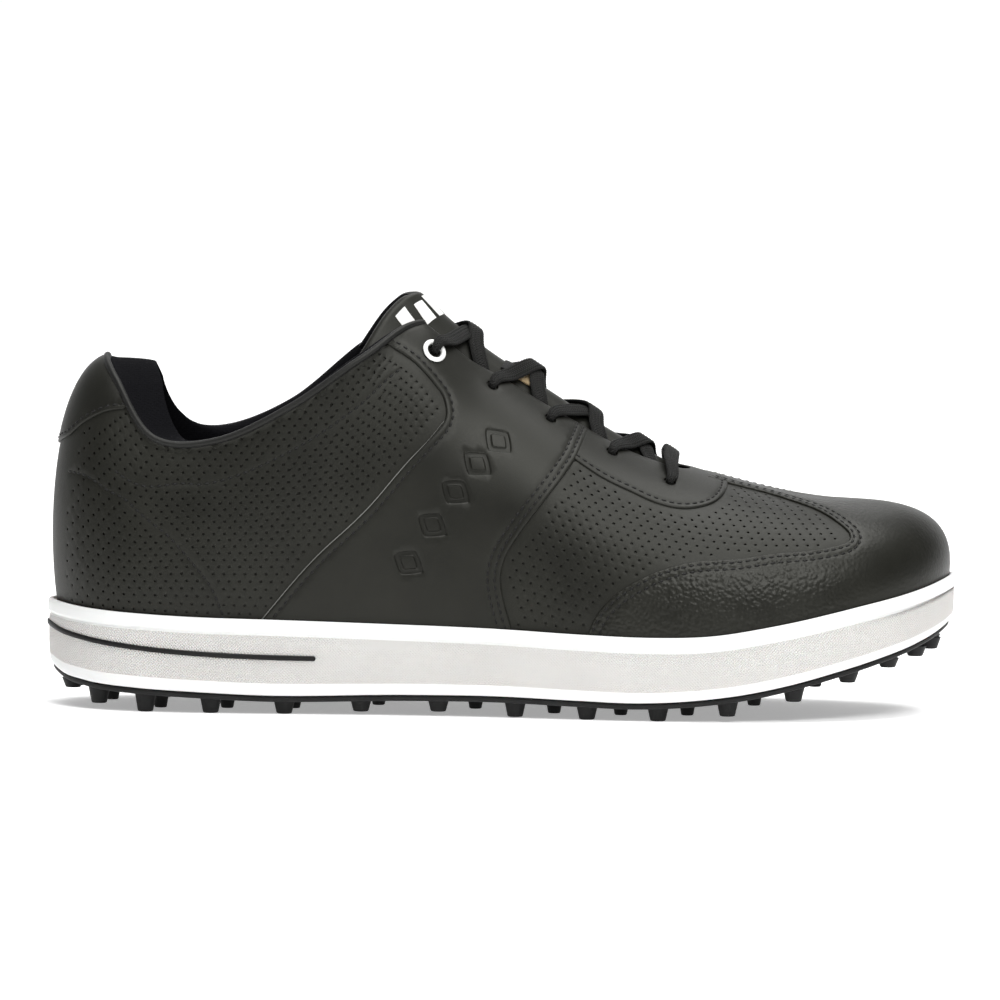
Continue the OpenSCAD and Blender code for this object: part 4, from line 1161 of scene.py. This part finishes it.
def grown(loop, distance):
    """Closed loop of places moved outwards."""
    ring = respaced(np.vstack([loop, loop[:1]]), 1.0)
    moved = offset(ring, distance)
    if inside(side_plane(ring), side_plane(moved[len(moved) // 2:len(moved) // 2 + 1]))[0]:
        moved = offset(ring, -distance)
    x = upper(moved[:, 0], moved[:, 1])
    keep = nearest(x, upper(ring[:, 0], ring[:, 1])) > 0.9 * distance
    moved = moved[keep]
    moved[:, 1] = np.clip(moved[:, 1], FOOT, 2 - FOOT)
    return np.vstack([moved, moved[:1]])


def within(places, loop, clear):
    """Places inside a closed loop and clear of its edge."""
    loop = respaced(np.vstack([loop, loop[:1]]), 0.8)
    x = upper(places[:, 0], places[:, 1])
    ok = inside(side_plane(loop), side_plane(places))
    ok &= nearest(x, upper(loop[:, 0], loop[:, 1])) > clear
    return places[ok]


def off_tab(places):
    low = curve(TAB_LOW)
    h = np.where(places[:, 1] > 1, 2 - places[:, 1], places[:, 1])
    limit = np.interp(places[:, 0], low[:, 0], low[:, 1], left=2, right=0.5) - 0.05
    return places[h < limit]


MARK_FROM, MARK_TO, MARK_COUNT = np.array([10.0, 0.165]), np.array([8.76, 0.565]), 5
MARK_HALF = (5.0, 6.2)
MARK_ROWS = [(1.0, 0.0), (0.93, 0.1), (0.86, 0.62), (0.62, 0.68), (0.55, 0.6), (0.48, 0.1), (0.25, 0.04)]


def lozenge(corners, round_by):
    """Outline of a unit lozenge with rounded corners."""
    a = np.arange(corners) * 2 * math.pi / corners
    c, s = np.cos(a), np.sin(a)
    return np.stack([c, s], -1) / (abs(c) ** round_by + abs(s) ** round_by)[:, None] ** (1 / round_by)


def emboss(made, inner):
    """A generic pressed mark on the outer side: a slanting row of lozenges."""
    if inner:
        return
    shape = lozenge(40, 1.15)
    for k in range(MARK_COUNT):
        c = MARK_FROM + (MARK_TO - MARK_FROM) * k / (MARK_COUNT - 1)
        n = upper_out(c[0], c[1])
        along = unit(upper(*(c + (MARK_TO - MARK_FROM) * 0.02)) - upper(c[0], c[1]))
        across = np.cross(n, along)
        spots = np.vstack([shape * r for r, _ in MARK_ROWS] + [[[0, 0]]])
        depths = np.repeat([d for _, d in MARK_ROWS], len(shape)).tolist() + [0.05]
        moves = along * spots[:, :1] * MARK_HALF[0] + across * spots[:, 1:] * MARK_HALF[1]
        places = shifted(np.repeat(c[None], len(spots), 0), moves)
        made.add(places, np.array(depths), 1.0)


# How far the padding stands forward into the shoe round the heel, by station.
HEEL_PAD = [(9.9, 0), (11, 0), (12, 0.3), (13.2, 4.5), (14.2, 9.5), (15, 12.5), (16, 13)]
HEEL_PAD_LIFT = 0.15
COLLAR_END = 9.98
BINDING_ROLL = (1.35, 1.15)


def build_collar(m):
    ps = np.linspace(COLLAR_END, STATIONS - COLLAR_END, 420)
    up = unit(upper(ps, 0.98) - upper(ps, 0.94))
    path = on_upper(ps, RIM, 0.9) + up * 0.7
    pts, faces, uv = swept(path, upper_out(ps, 0.96), *BINDING_ROLL, 14)
    piece = collect("collar_binding_roll", pts, faces, m["piping"], uv=uv)
    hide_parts("collar_binding")

    # Height fraction, depth below the upper, lift above it, share of the push at the heel.
    rows = [
        (0.99, 1.5, 0.9, 0), (0.985, 2.6, 1.5, 0.1), (0.98, 3.8, 1.9, 0.4), (0.972, 5.0, 1.8, 0.75),
        (0.96, 5.9, 1.2, 1), (0.94, 6.4, 0.4, 1), (0.9, 6.6, 0, 1), (0.84, 6.5, 0, 0.95),
        (0.79, 6.3, 0, 0.65), (0.75, 6.0, 0, 0.4), (0.72, 5.6, 0, 0.22), (0.69, 5.1, 0, 0.06),
        (0.66, 4.6, 0, 0), (0.62, 4.2, 0, 0),
    ]
    t = np.linspace(0, len(rows) - 1, 66)
    k = np.arange(len(rows))
    hs, depths, ups, shares = (smooth_lookup(t, list(zip(k, column))) for column in zip(*rows))
    P, H = np.meshgrid(ps, hs, indexing="ij")
    out = upper_out(P, np.minimum(H, 0.88))
    base = upper(P, H)
    push = smooth_lookup(np.minimum(ps, STATIONS - ps), HEEL_PAD)[:, None, None] * shares[None, :, None]
    push = push * np.array([1, 0, HEEL_PAD_LIFT])
    rise = up[:, None] * ups[None, :, None]
    inner_face = base - out * depths[None, :, None] + rise + push
    outer_face = base - out * (np.maximum(depths - 0.7, 1.2))[None, :, None] + rise * 0.3 + push
    pts, faces = grid_solid(inner_face, outer_face)
    piece = collect("collar_lining_pad", pts, faces, m["textile"])
    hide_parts("collar_lining")


def sheet_piece(name, node_name, m, low, high, p_range, depth=3.0, thick=0.7):
    P, H = np.meshgrid(np.linspace(*p_range, 90), np.linspace(low, high, 34), indexing="ij")
    near, far = (on_upper(P, H, np.full(P.shape, d)) for d in (depth, depth + thick))
    pts, faces = grid_solid(near, far)
    piece = collect(name, pts, faces, m["textile"])
    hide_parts(node_name)


def carried(m):
    """CAD nodes whose shape is right keep it and get a real finish."""
    finish = {
        "eva_wedge": "foam", "shank": "steel", "lasting_board": "board", "sockliner_foam": "foam",
        "sockliner_cloth": "sock", "collar_foam": "foam", "heel_counter": "stiff", "toe_puff": "stiff",
        "vamp_lining": "textile", "stay_lateral": "web", "stay_medial": "web",
        "eyelet_washers": "steel", "tongue_foam": "foam", "aglets": "aglet",
    }
    for name, key in finish.items():
        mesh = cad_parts[name].data
        mesh.materials.clear()
        mesh.materials.append(m[key])


def build_tongue(m):
    us = np.concatenate([np.linspace(0, 9, 70), 9 + (1 - (1 - np.linspace(0, 1, 22)[1:]) ** 1.8)])
    vs = np.sin(np.linspace(-1, 1, 61) * math.pi / 2)
    vs = 0.6 * vs + 0.4 * np.linspace(-1, 1, 61)
    U, V = np.meshgrid(us, vs, indexing="ij")
    thick = 4.8
    r = thick / 2
    side_arc = 27.0
    top_arc = 7.6
    d = np.minimum((1 - abs(V)) * side_arc, (TONGUE_LAST - U) * top_arc)
    f = r - np.sqrt(np.maximum(r * r - np.maximum(r - d, 0) ** 2, 0))
    puff = 0.25 * np.sin(np.clip(d / 8, 0, 1) * math.pi / 2)
    front = on_tongue(U, V, f)
    shell_in = on_tongue(U, V, np.minimum(f + 0.9, r))
    pts, faces = grid_solid(front, shell_in)
    uv = np.stack([U.ravel() * 10, V.ravel() * 20], -1)
    piece = collect("tongue_shell", pts, faces, m["perforated"], "tongue", uv=np.vstack([uv, uv]))
    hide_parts("tongue_outer")
    back = on_tongue(U, V, thick - f + puff)
    back_in = on_tongue(U, V, np.maximum(thick - f - 0.8, r + 0.02))
    pts, faces = grid_solid(back, back_in)
    piece = collect("tongue_lining_sheet", pts, faces, m["textile"], "tongue")
    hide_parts("tongue_lining")

    U, V = np.meshgrid(np.linspace(5.35, 6.25, 24), np.linspace(-0.3, 0.3, 40), indexing="ij")
    bulge = 0.5 * (1 - (2 * (U - 5.8) / 0.9) ** 4)
    top = on_tongue(U, V, -0.55 - bulge)
    bottom = on_tongue(U, V, np.full(U.shape, -0.1))
    pts, faces = grid_solid(top, bottom)
    uv = np.stack([(V.ravel() + 0.3) * 30, (U.ravel() - 5.35) / 0.9], -1)
    piece = collect("lace_keeper", pts, faces, m["keeper"], "tongue", uv=np.vstack([uv, uv]))
    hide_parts("tongue_badge")

    marks = []
    for k in range(6):
        s = np.linspace(0, 1, 14)
        across = -0.64 + 0.22 * k + 0.14 * s[None, :] + 0.06 * (s[:, None] - 0.5)
        along = np.broadcast_to(8.35 + (1.15 - 0.25 * (k % 2)) * s[:, None], across.shape)
        front = on_tongue(along, across, np.full(across.shape, -0.22))
        marks.append(grid_solid(front, on_tongue(along, across, np.full(across.shape, 0.05))))
    pts, faces = joined(marks)
    piece = collect("tongue_print", pts, faces, m["print"], "tongue", flat=40)
    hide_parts("tongue_mark")


# ---------------------------------------------------------------- sole

SOLE_STEPS = 480
# Rows of the cup's profile that make its woven wall.
WALL_ROWS = (16, 22)


def build_sole(m):
    p = np.arange(SOLE_STEPS) * STATIONS / SOLE_STEPS
    e = edge_point(p)
    profile = [
        (4.0, 0, 5.0), (4.0, 1, -1.4), (1.8, 1, -1.4), (1.6, 1, -1.0), (1.55, 1, -0.15), (1.4, 1, 0.0),
        (0.75, 1, 0.05), (0.35, 1, -0.1), (0.08, 1, -0.5), (0.0, 1, -1.2), (0.0, 1, -2.6), (0.02, 1, -3.6),
        (0.1, 1, -3.95), (0.5, 1, -4.2), (0.75, 1, -4.5), (0.7, 1, -4.9), (0.45, 1, -5.3),
        (0.34, 0.72, 0), (0.34, 0.62, 0), (0.34, 0.5, 0), (0.38, 0.38, 0), (0.46, 0.26, 0), (0.62, 0.16, 0),
        (0.8, 0.08, 0), (1.1, 0.03, 0), (1.5, 0.0, 0), (2.4, 0.0, -0.1),
    ]
    rings = [sole_points(p, np.full(len(p), a), b, c) for a, b, c in profile]
    pts, faces = ring_stack(rings)
    along = arc(np.vstack([e, e[:1]]))[:-1]
    uv = [np.stack([along, ring[:, 2]], -1) for ring in rings]
    uv = np.vstack(uv + [[[0, 0], [0, 0]]])
    wall = wall_faces(SOLE_STEPS, *WALL_ROWS, len(faces))
    piece = collect("midsole_cup", pts, faces, [m["midsole"], m["wall"]], uv=uv, face_material=wall)
    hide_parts("midsole")
    build_stripe(m)
    build_outsole(m, p)


def wall_faces(cols, first, last, total):
    """Material index of each face: 1 on the rows of the woven wall."""
    flags = np.zeros(total, int)
    flags[first * cols:last * cols] = 1
    return flags


def build_stripe(m):
    high = [(11, 0.5), (13, 0.52), (15, 0.6), (16, 0.63), (17, 0.6), (19, 0.52), (21, 0.5)]
    fine = 0.12 * (1 - np.cos(np.linspace(0, 1, 14)[:-1] * math.pi / 2))
    ps = np.concatenate([11.2 + fine, np.linspace(11.32, 20.68, 400), 20.8 - fine[::-1]])
    e, o = edge_point(ps), edge_out(ps)
    f = smooth_lookup(ps, high)
    z = f * smooth_lookup(e[:, 0], TOP_LINE) + (1 - f) * smooth_lookup(e[:, 0], BOTTOM_LINE)
    s = arc(np.concatenate([e, z[:, None]], -1))
    half = 0.85
    end = np.minimum(s, s[-1] - s)
    w = half * np.sqrt(np.maximum(1 - np.maximum(1 - end / half, 0) ** 2, 1e-4))
    rows = []
    for c, lift in ((-1, 0.0), (-0.96, 0.25), (-0.7, 0.42), (0, 0.46), (0.7, 0.42), (0.96, 0.25), (1, 0.0)):
        q = e + o * (lift + 0.02 - 0.2)
        rows.append(np.concatenate([q, (z + c * w)[:, None]], -1))
    outer = np.stack(rows, 1)
    inner = outer - np.concatenate([o, np.zeros((len(o), 1))], -1)[:, None] * 0.5
    pts, faces = grid_solid(outer, inner)
    piece = collect("heel_stripe_band", pts, faces, m["stripe"])
    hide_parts("heel_stripe")


# Studs of the edge rows: inset from the edge, first and last station, how many.
STUD_ROWS = [(7.5, 0.6, 15.6, 16), (7.5, 16.6, 31.4, 15)]
INNER_STUDS = [
    (-128, 0), (-112, -13), (-112, 13), (-90, -12), (-90, 12), (-68, -10), (-68, 10),
    (-40, -10), (-40, 10), (-8, -13), (-8, 11), (18, -18), (18, 0), (18, 18),
    (40, -22), (40, 0), (40, 22), (62, -22), (62, 0), (62, 22), (84, -20), (84, 0),
    (84, 22), (104, -10), (104, 12), (122, 4),
]
INNER_SCALE = 0.8
STUD_TIP_R = 2.6
STUD_ROOT_R = 3.7
STUD_ROOT = 1.2
STUD_EDGE = 0.45
PLATE_TOP = -0.3
PLATE_UNDER = -2.2
KEEL_ENDS = (-120, 112)


def stud(x, y, scale, sides=28):
    tip = np.interp(x, *np.array(TIP_LINE, float).T)
    root = smooth_lookup(x, BOTTOM_LINE) - STUD_ROOT
    r0, r1 = STUD_TIP_R * scale, STUD_ROOT_R * scale
    profile = [(0.25, 0.55), (0.35, 0.5), (0.42, 0.0), (0.8, 0.0), (0.93, 0.12), (1.0, STUD_EDGE)]
    a = np.arange(sides) * 2 * math.pi / sides
    circle = np.stack([np.cos(a), np.sin(a)], -1)
    rings = []
    for f, lift in profile:
        rings.append(np.concatenate([circle * r0 * f, np.full((sides, 1), lift)], -1) + [x, y, tip])
    for t in (0.35, 0.7, 0.88, 1.0):
        r = r0 + (r1 - r0) * t
        z = tip + STUD_EDGE + (root - tip - STUD_EDGE) * t
        rings.append(np.concatenate([circle * r, np.zeros((sides, 1))], -1) + [x, y, z])
    return ring_stack(rings)


def at_level(ring, lift):
    """A ring laid on the sole's bottom line, moved by lift."""
    ring = ring.copy()
    ring[:, 2] = smooth_lookup(ring[:, 0], BOTTOM_LINE) + lift
    return ring


def build_outsole(m, p):
    profile = [
        (2.6, -0.3), (2.0, -0.7), (1.95, -1.4), (2.2, -1.9), (2.8, -2.2), (4.2, -2.2), (4.4, -1.9),
        (5.0, -1.9), (5.2, -2.2), (11.6, -2.2), (11.8, -1.7), (12.8, -1.7), (13.0, -2.2), (16, -2.2),
        (24, -2.2),
    ]
    rings = [sole_points(p, np.full(len(p), a), 0, c) for a, c in profile]
    keel = rings[-1].copy()
    keel[:, 0] = np.clip(keel[:, 0], *KEEL_ENDS)
    keel[:, 1] = 0
    under = rings[-1]
    for f in (0.35, 0.7, 1.0):
        rings.append(at_level(under * (1 - f) + keel * f, PLATE_UNDER))
    top_keel = at_level(keel, PLATE_TOP)
    inner_top = at_level(0.5 * rings[0] + 0.5 * top_keel, PLATE_TOP)
    rings = [top_keel, inner_top] + rings
    plate = ring_stack(rings)
    parts = [plate]
    for inset, first, last, count in STUD_ROWS:
        for q in np.linspace(first, last, count):
            c = edge_point(q) - edge_out(q) * inset
            parts.append(stud(c[0], c[1], 1.0))
    for x, y in INNER_STUDS:
        parts.append(stud(x, y, INNER_SCALE))
    pts, faces = joined(parts)
    piece = collect("outsole_tread", pts, faces, m["outsole"], flat=40)
    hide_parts("outsole")


# ---------------------------------------------------------------- lace and eyelets

THROAT_H = [0.9, 0.9, 0.89, 0.88, 0.89]
LACE_UP = 1.3
CROSS_LOW = [1.7, 1.7, 3.5, 1.8]
CROSS_HIGH = [3.3, 3.3, 5.1, 3.4]
LACE_IN = 1.6 + 0.6 + 0.6 + 0.3
LACE_OUT = -0.9
FLAT = (2.7, 0.6)
BUNCH = (1.4, 0.85)
NARROW = (2.1, 0.65)
BARREL_LEN = 1.5 + 0.6 + 0.6 + 0.4
LACE_SIDES = 60
LACE_RIBS = 5
LACE_RIB_DEPTH = 0.3
LACE_FULL = 1.15
LACE_STEP = 0.5
LACE_SQUARE = 2.6
WEAVE_WAVE = 0.035
WEAVE_PITCH = 1.26


def at_side(s, h):
    return h if s < 0 else 2 - h


def over_tongue(p, v, up):
    x = upper(p, 1.0)[0]
    u = np.interp(-x, -TONGUE_LINE[:, 0], np.arange(TONGUE_LAST + 1))
    return on_tongue(u, v, -up)


def lace_row(i, s, ups):
    p, h = LACE_HOLES[i]
    lift = 1.1 if i == TOP_HOLE else 0
    rows = [
        (on_upper(p - 0.04, at_side(s, h + 0.04), LACE_OUT - lift), NARROW),
        (on_upper(p, at_side(s, h + 0.003), -0.15 - lift), BUNCH),
        (on_upper(p, at_side(s, h + 0.003), BARREL_LEN if i == TOP_HOLE else LACE_IN - 0.7), BUNCH),
    ]
    if i == TOP_HOLE:
        return rows + [(on_upper(p + 0.01, at_side(s, h - 0.015), BARREL_LEN + 0.9), BUNCH)]
    return rows + [
        (on_upper(p + 0.04, at_side(s, h + 0.035), LACE_IN + 0.1), NARROW),
        (over_tongue(p + 0.3, 0.28 * s, LACE_UP + (ups[i] - LACE_UP) / 3), FLAT),
        (over_tongue(p + 0.45, 0, ups[i]), FLAT),
        (on_upper(LACE_HOLES[i + 1][0] - 0.2, at_side(-s, THROAT_H[i + 1] + 0.01), LACE_OUT - 0.2), FLAT),
    ]


def half_lace(s, ups):
    rows = []
    for i in range(TOP_HOLE + 1):
        rows += lace_row(i, s if i % 2 == 0 else -s, ups)
    tail = [
        (9.8, 0.76, 4.8, BUNCH), (9.85, 0.69, 5, FLAT), (9.9, 0.6, 5.2, FLAT),
        (9.95, 0.5, 5.4, FLAT), (10, 0.42, 6, NARROW),
    ]
    return rows + [(on_upper(p, at_side(s, h), d), size) for p, h, d, size in tail]


def build_lace(m):
    bar = [(on_upper(6.16, h, LACE_OUT - d), FLAT) for h, d in ((0.88, 1.2), (1, 2.2), (1.12, 1.2))]
    rows = half_lace(-1, CROSS_LOW)[::-1] + bar + half_lace(1, CROSS_HIGH)
    path = np.array([r[0] for r in rows])
    size = np.array([r[1] for r in rows])
    # Centripetal knots keep the curve from looping where the points are close.
    knots = np.concatenate([[0], np.cumsum(np.sqrt(np.linalg.norm(np.diff(path, axis=0), axis=1)))])
    full = hermite(knots, np.hstack([path, size]), 24)
    s = arc(full[:, :3])
    at = np.arange(0, s[-1], LACE_STEP)
    full = np.stack([np.interp(at, s, full[:, k]) for k in range(5)], -1)
    rib = 1 + WEAVE_WAVE * np.sin(at * 2 * math.pi / WEAVE_PITCH)
    refs = np.tile(unit(np.array([-0.84, 0, 0.54])), (len(full), 1))
    half_w, half_t = full[:, 3] * rib, full[:, 4] * (2 - rib) * LACE_FULL
    pts, faces, uv = swept(
        full[:, :3], refs, half_w, half_t, LACE_SIDES, LACE_SQUARE, LACE_RIBS, LACE_RIB_DEPTH
    )
    piece = collect("lace_band", pts, faces, m["lace"], uv=uv)
    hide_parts("lace")


def hermite(knots, values, n):
    slopes = np.zeros_like(values)
    d = np.diff(values, axis=0) / np.diff(knots)[:, None]
    slopes[1:-1] = 0.5 * (d[1:] + d[:-1])
    slopes[0], slopes[-1] = d[0], d[-1]
    out = []
    for i in range(len(knots) - 1):
        w = knots[i + 1] - knots[i]
        t = (np.arange(n) / n)[:, None]
        out.append(
            values[i] * (1 + 2 * t) * (1 - t) ** 2 + values[i + 1] * t * t * (3 - 2 * t)
            + w * slopes[i] * t * (1 - t) ** 2 + w * slopes[i + 1] * t * t * (t - 1)
        )
    out.append(values[-1:])
    return np.vstack(out)


def build_eyelets(m):
    parts = []
    sides = 64
    profile = [
        (2.5, -BARREL_LEN), (3.1, -BARREL_LEN), (3.1, 0.15), (3.9, 0.12), (4.1, 0.2), (4.15, 0.4),
        (4.0, 0.68), (3.7, 0.86), (3.3, 0.95), (2.9, 0.88), (2.62, 0.65), (2.5, 0.3),
    ]
    a = np.arange(sides) * 2 * math.pi / sides
    for h in (LACE_HOLES[TOP_HOLE][1], 2 - LACE_HOLES[TOP_HOLE][1]):
        p = LACE_HOLES[TOP_HOLE][0]
        c, n = upper(p, h), upper_out(p, h)
        e = unit(np.cross(np.array([0.0, 1.0, 0.0]), n))
        g = np.cross(n, e)
        spokes = [e * math.cos(b) + g * math.sin(b) for b in a]
        rings = np.array([[c + spoke * r + n * z for spoke in spokes] for r, z in profile])
        pts = rings.reshape(-1, 3)
        faces = grid_faces(len(profile), sides, wrap_rows=True, wrap_cols=True)
        if volume_sign(pts - c, faces) < 0:
            faces = flipped(faces)
        parts.append((pts, faces))
    pts, faces = joined(parts)
    piece = collect("eyelet_ring_pair", pts, faces, m["eyelet"], flat=60)
    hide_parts("eyelet_rings")


# ---------------------------------------------------------------- stage


FLOOR_WIDTH = 6.0
BACKDROP_GLOW = 0.35
WORLD_LIGHT = 0.16
VIEW_ELEVATION = math.radians(5)
VIEW_ROLL = 0.0117
VIEW_WIDTH = 0.3304
VIEW_DISTANCE = 2.0


def build_stage():
    """Floor that curves up into a wall behind the shoe."""
    points = []
    profile = [(-3.0, 0), (1.2, 0), (1.6, 0.02), (1.9, 0.12), (2.1, 0.35), (2.2, 0.7), (2.2, 2.6)]
    for y, z in profile:
        points += [(-FLOOR_WIDTH / 2, y, z), (FLOOR_WIDTH / 2, y, z)]
    faces = [(2 * i, 2 * i + 1, 2 * i + 3, 2 * i + 2) for i in range(len(profile) - 1)]
    mesh = bpy.data.meshes.new("backdrop")
    mesh.from_pydata(points, [], faces)
    mesh.polygons.foreach_set("use_smooth", [True] * len(faces))
    f = Finish("backdrop_paper", Roughness=0.9)
    f.color(f.ramp(f.noise(3, detail=2.0), (0.95, 0.95, 0.95), (0.97, 0.97, 0.97)))
    f.shader.inputs["Emission Color"].default_value = (1, 1, 1, 1)
    f.shader.inputs["Emission Strength"].default_value = BACKDROP_GLOW
    mesh.materials.append(f.material)
    floor = bpy.data.objects.new("backdrop", mesh)
    bpy.context.scene.collection.objects.link(floor)


def area_light(name, place, target, size, power, color=(1, 1, 1)):
    light = bpy.data.lights.new(name, "AREA")
    light.shape = "RECTANGLE"
    light.size, light.size_y = size
    light.energy = power
    light.color = color
    obj = bpy.data.objects.new(name, light)
    obj.location = place
    obj.rotation_euler = (Vector(target) - Vector(place)).to_track_quat("-Z", "Y").to_euler()
    bpy.context.scene.collection.objects.link(obj)


def build_lights():
    area_light("overhead", (0.1, -0.1, 1.4), (0, 0, 0.05), (1.6, 1.0), 27)
    area_light("key", (0.4, -1.1, 1.1), (0.03, 0, 0.06), (0.8, 0.5), 14)
    area_light("rim", (-0.1, 0.9, 1.1), (0, 0, 0.06), (1.0, 0.6), 2)
    world = bpy.data.worlds.new("studio")
    world.use_nodes = True
    world.node_tree.nodes["Background"].inputs["Color"].default_value = (1, 1, 1, 1)
    world.node_tree.nodes["Background"].inputs["Strength"].default_value = WORLD_LIGHT
    bpy.context.scene.world = world


def build_camera():
    centre = Vector((-0.0007, 0.0, 0.0686 / math.cos(VIEW_ELEVATION)))
    back = Vector((0, -math.cos(VIEW_ELEVATION), math.sin(VIEW_ELEVATION)))
    data = bpy.data.cameras.new("photo_view")
    data.type = "ORTHO"
    data.ortho_scale = VIEW_WIDTH
    data.clip_start, data.clip_end = 0.05, 20
    camera = bpy.data.objects.new("photo_view", data)
    turn = back.to_track_quat("Z", "Y").to_matrix().to_4x4()
    place = Matrix.Translation(centre + back * VIEW_DISTANCE)
    camera.matrix_world = place @ turn @ Matrix.Rotation(VIEW_ROLL, 4, "Z")
    bpy.context.scene.collection.objects.link(camera)
    bpy.context.scene.camera = camera


bpy.context.scene.view_settings.view_transform = "Standard"
build_camera()
MATERIALS = make_materials()
build_stage()
build_lights()
carried(MATERIALS)
build_sole(MATERIALS)
build_upper(MATERIALS)
build_collar(MATERIALS)
sheet_piece("quarter_lining_outer_sheet", "quarter_lining_lateral", MATERIALS, 0.02, 0.67, (6.96, 15.97))
sheet_piece("quarter_lining_inner_sheet", "quarter_lining_medial", MATERIALS, 1.98, 1.33, (6.96, 15.97))
build_tongue(MATERIALS)
build_eyelets(MATERIALS)
build_lace(MATERIALS)
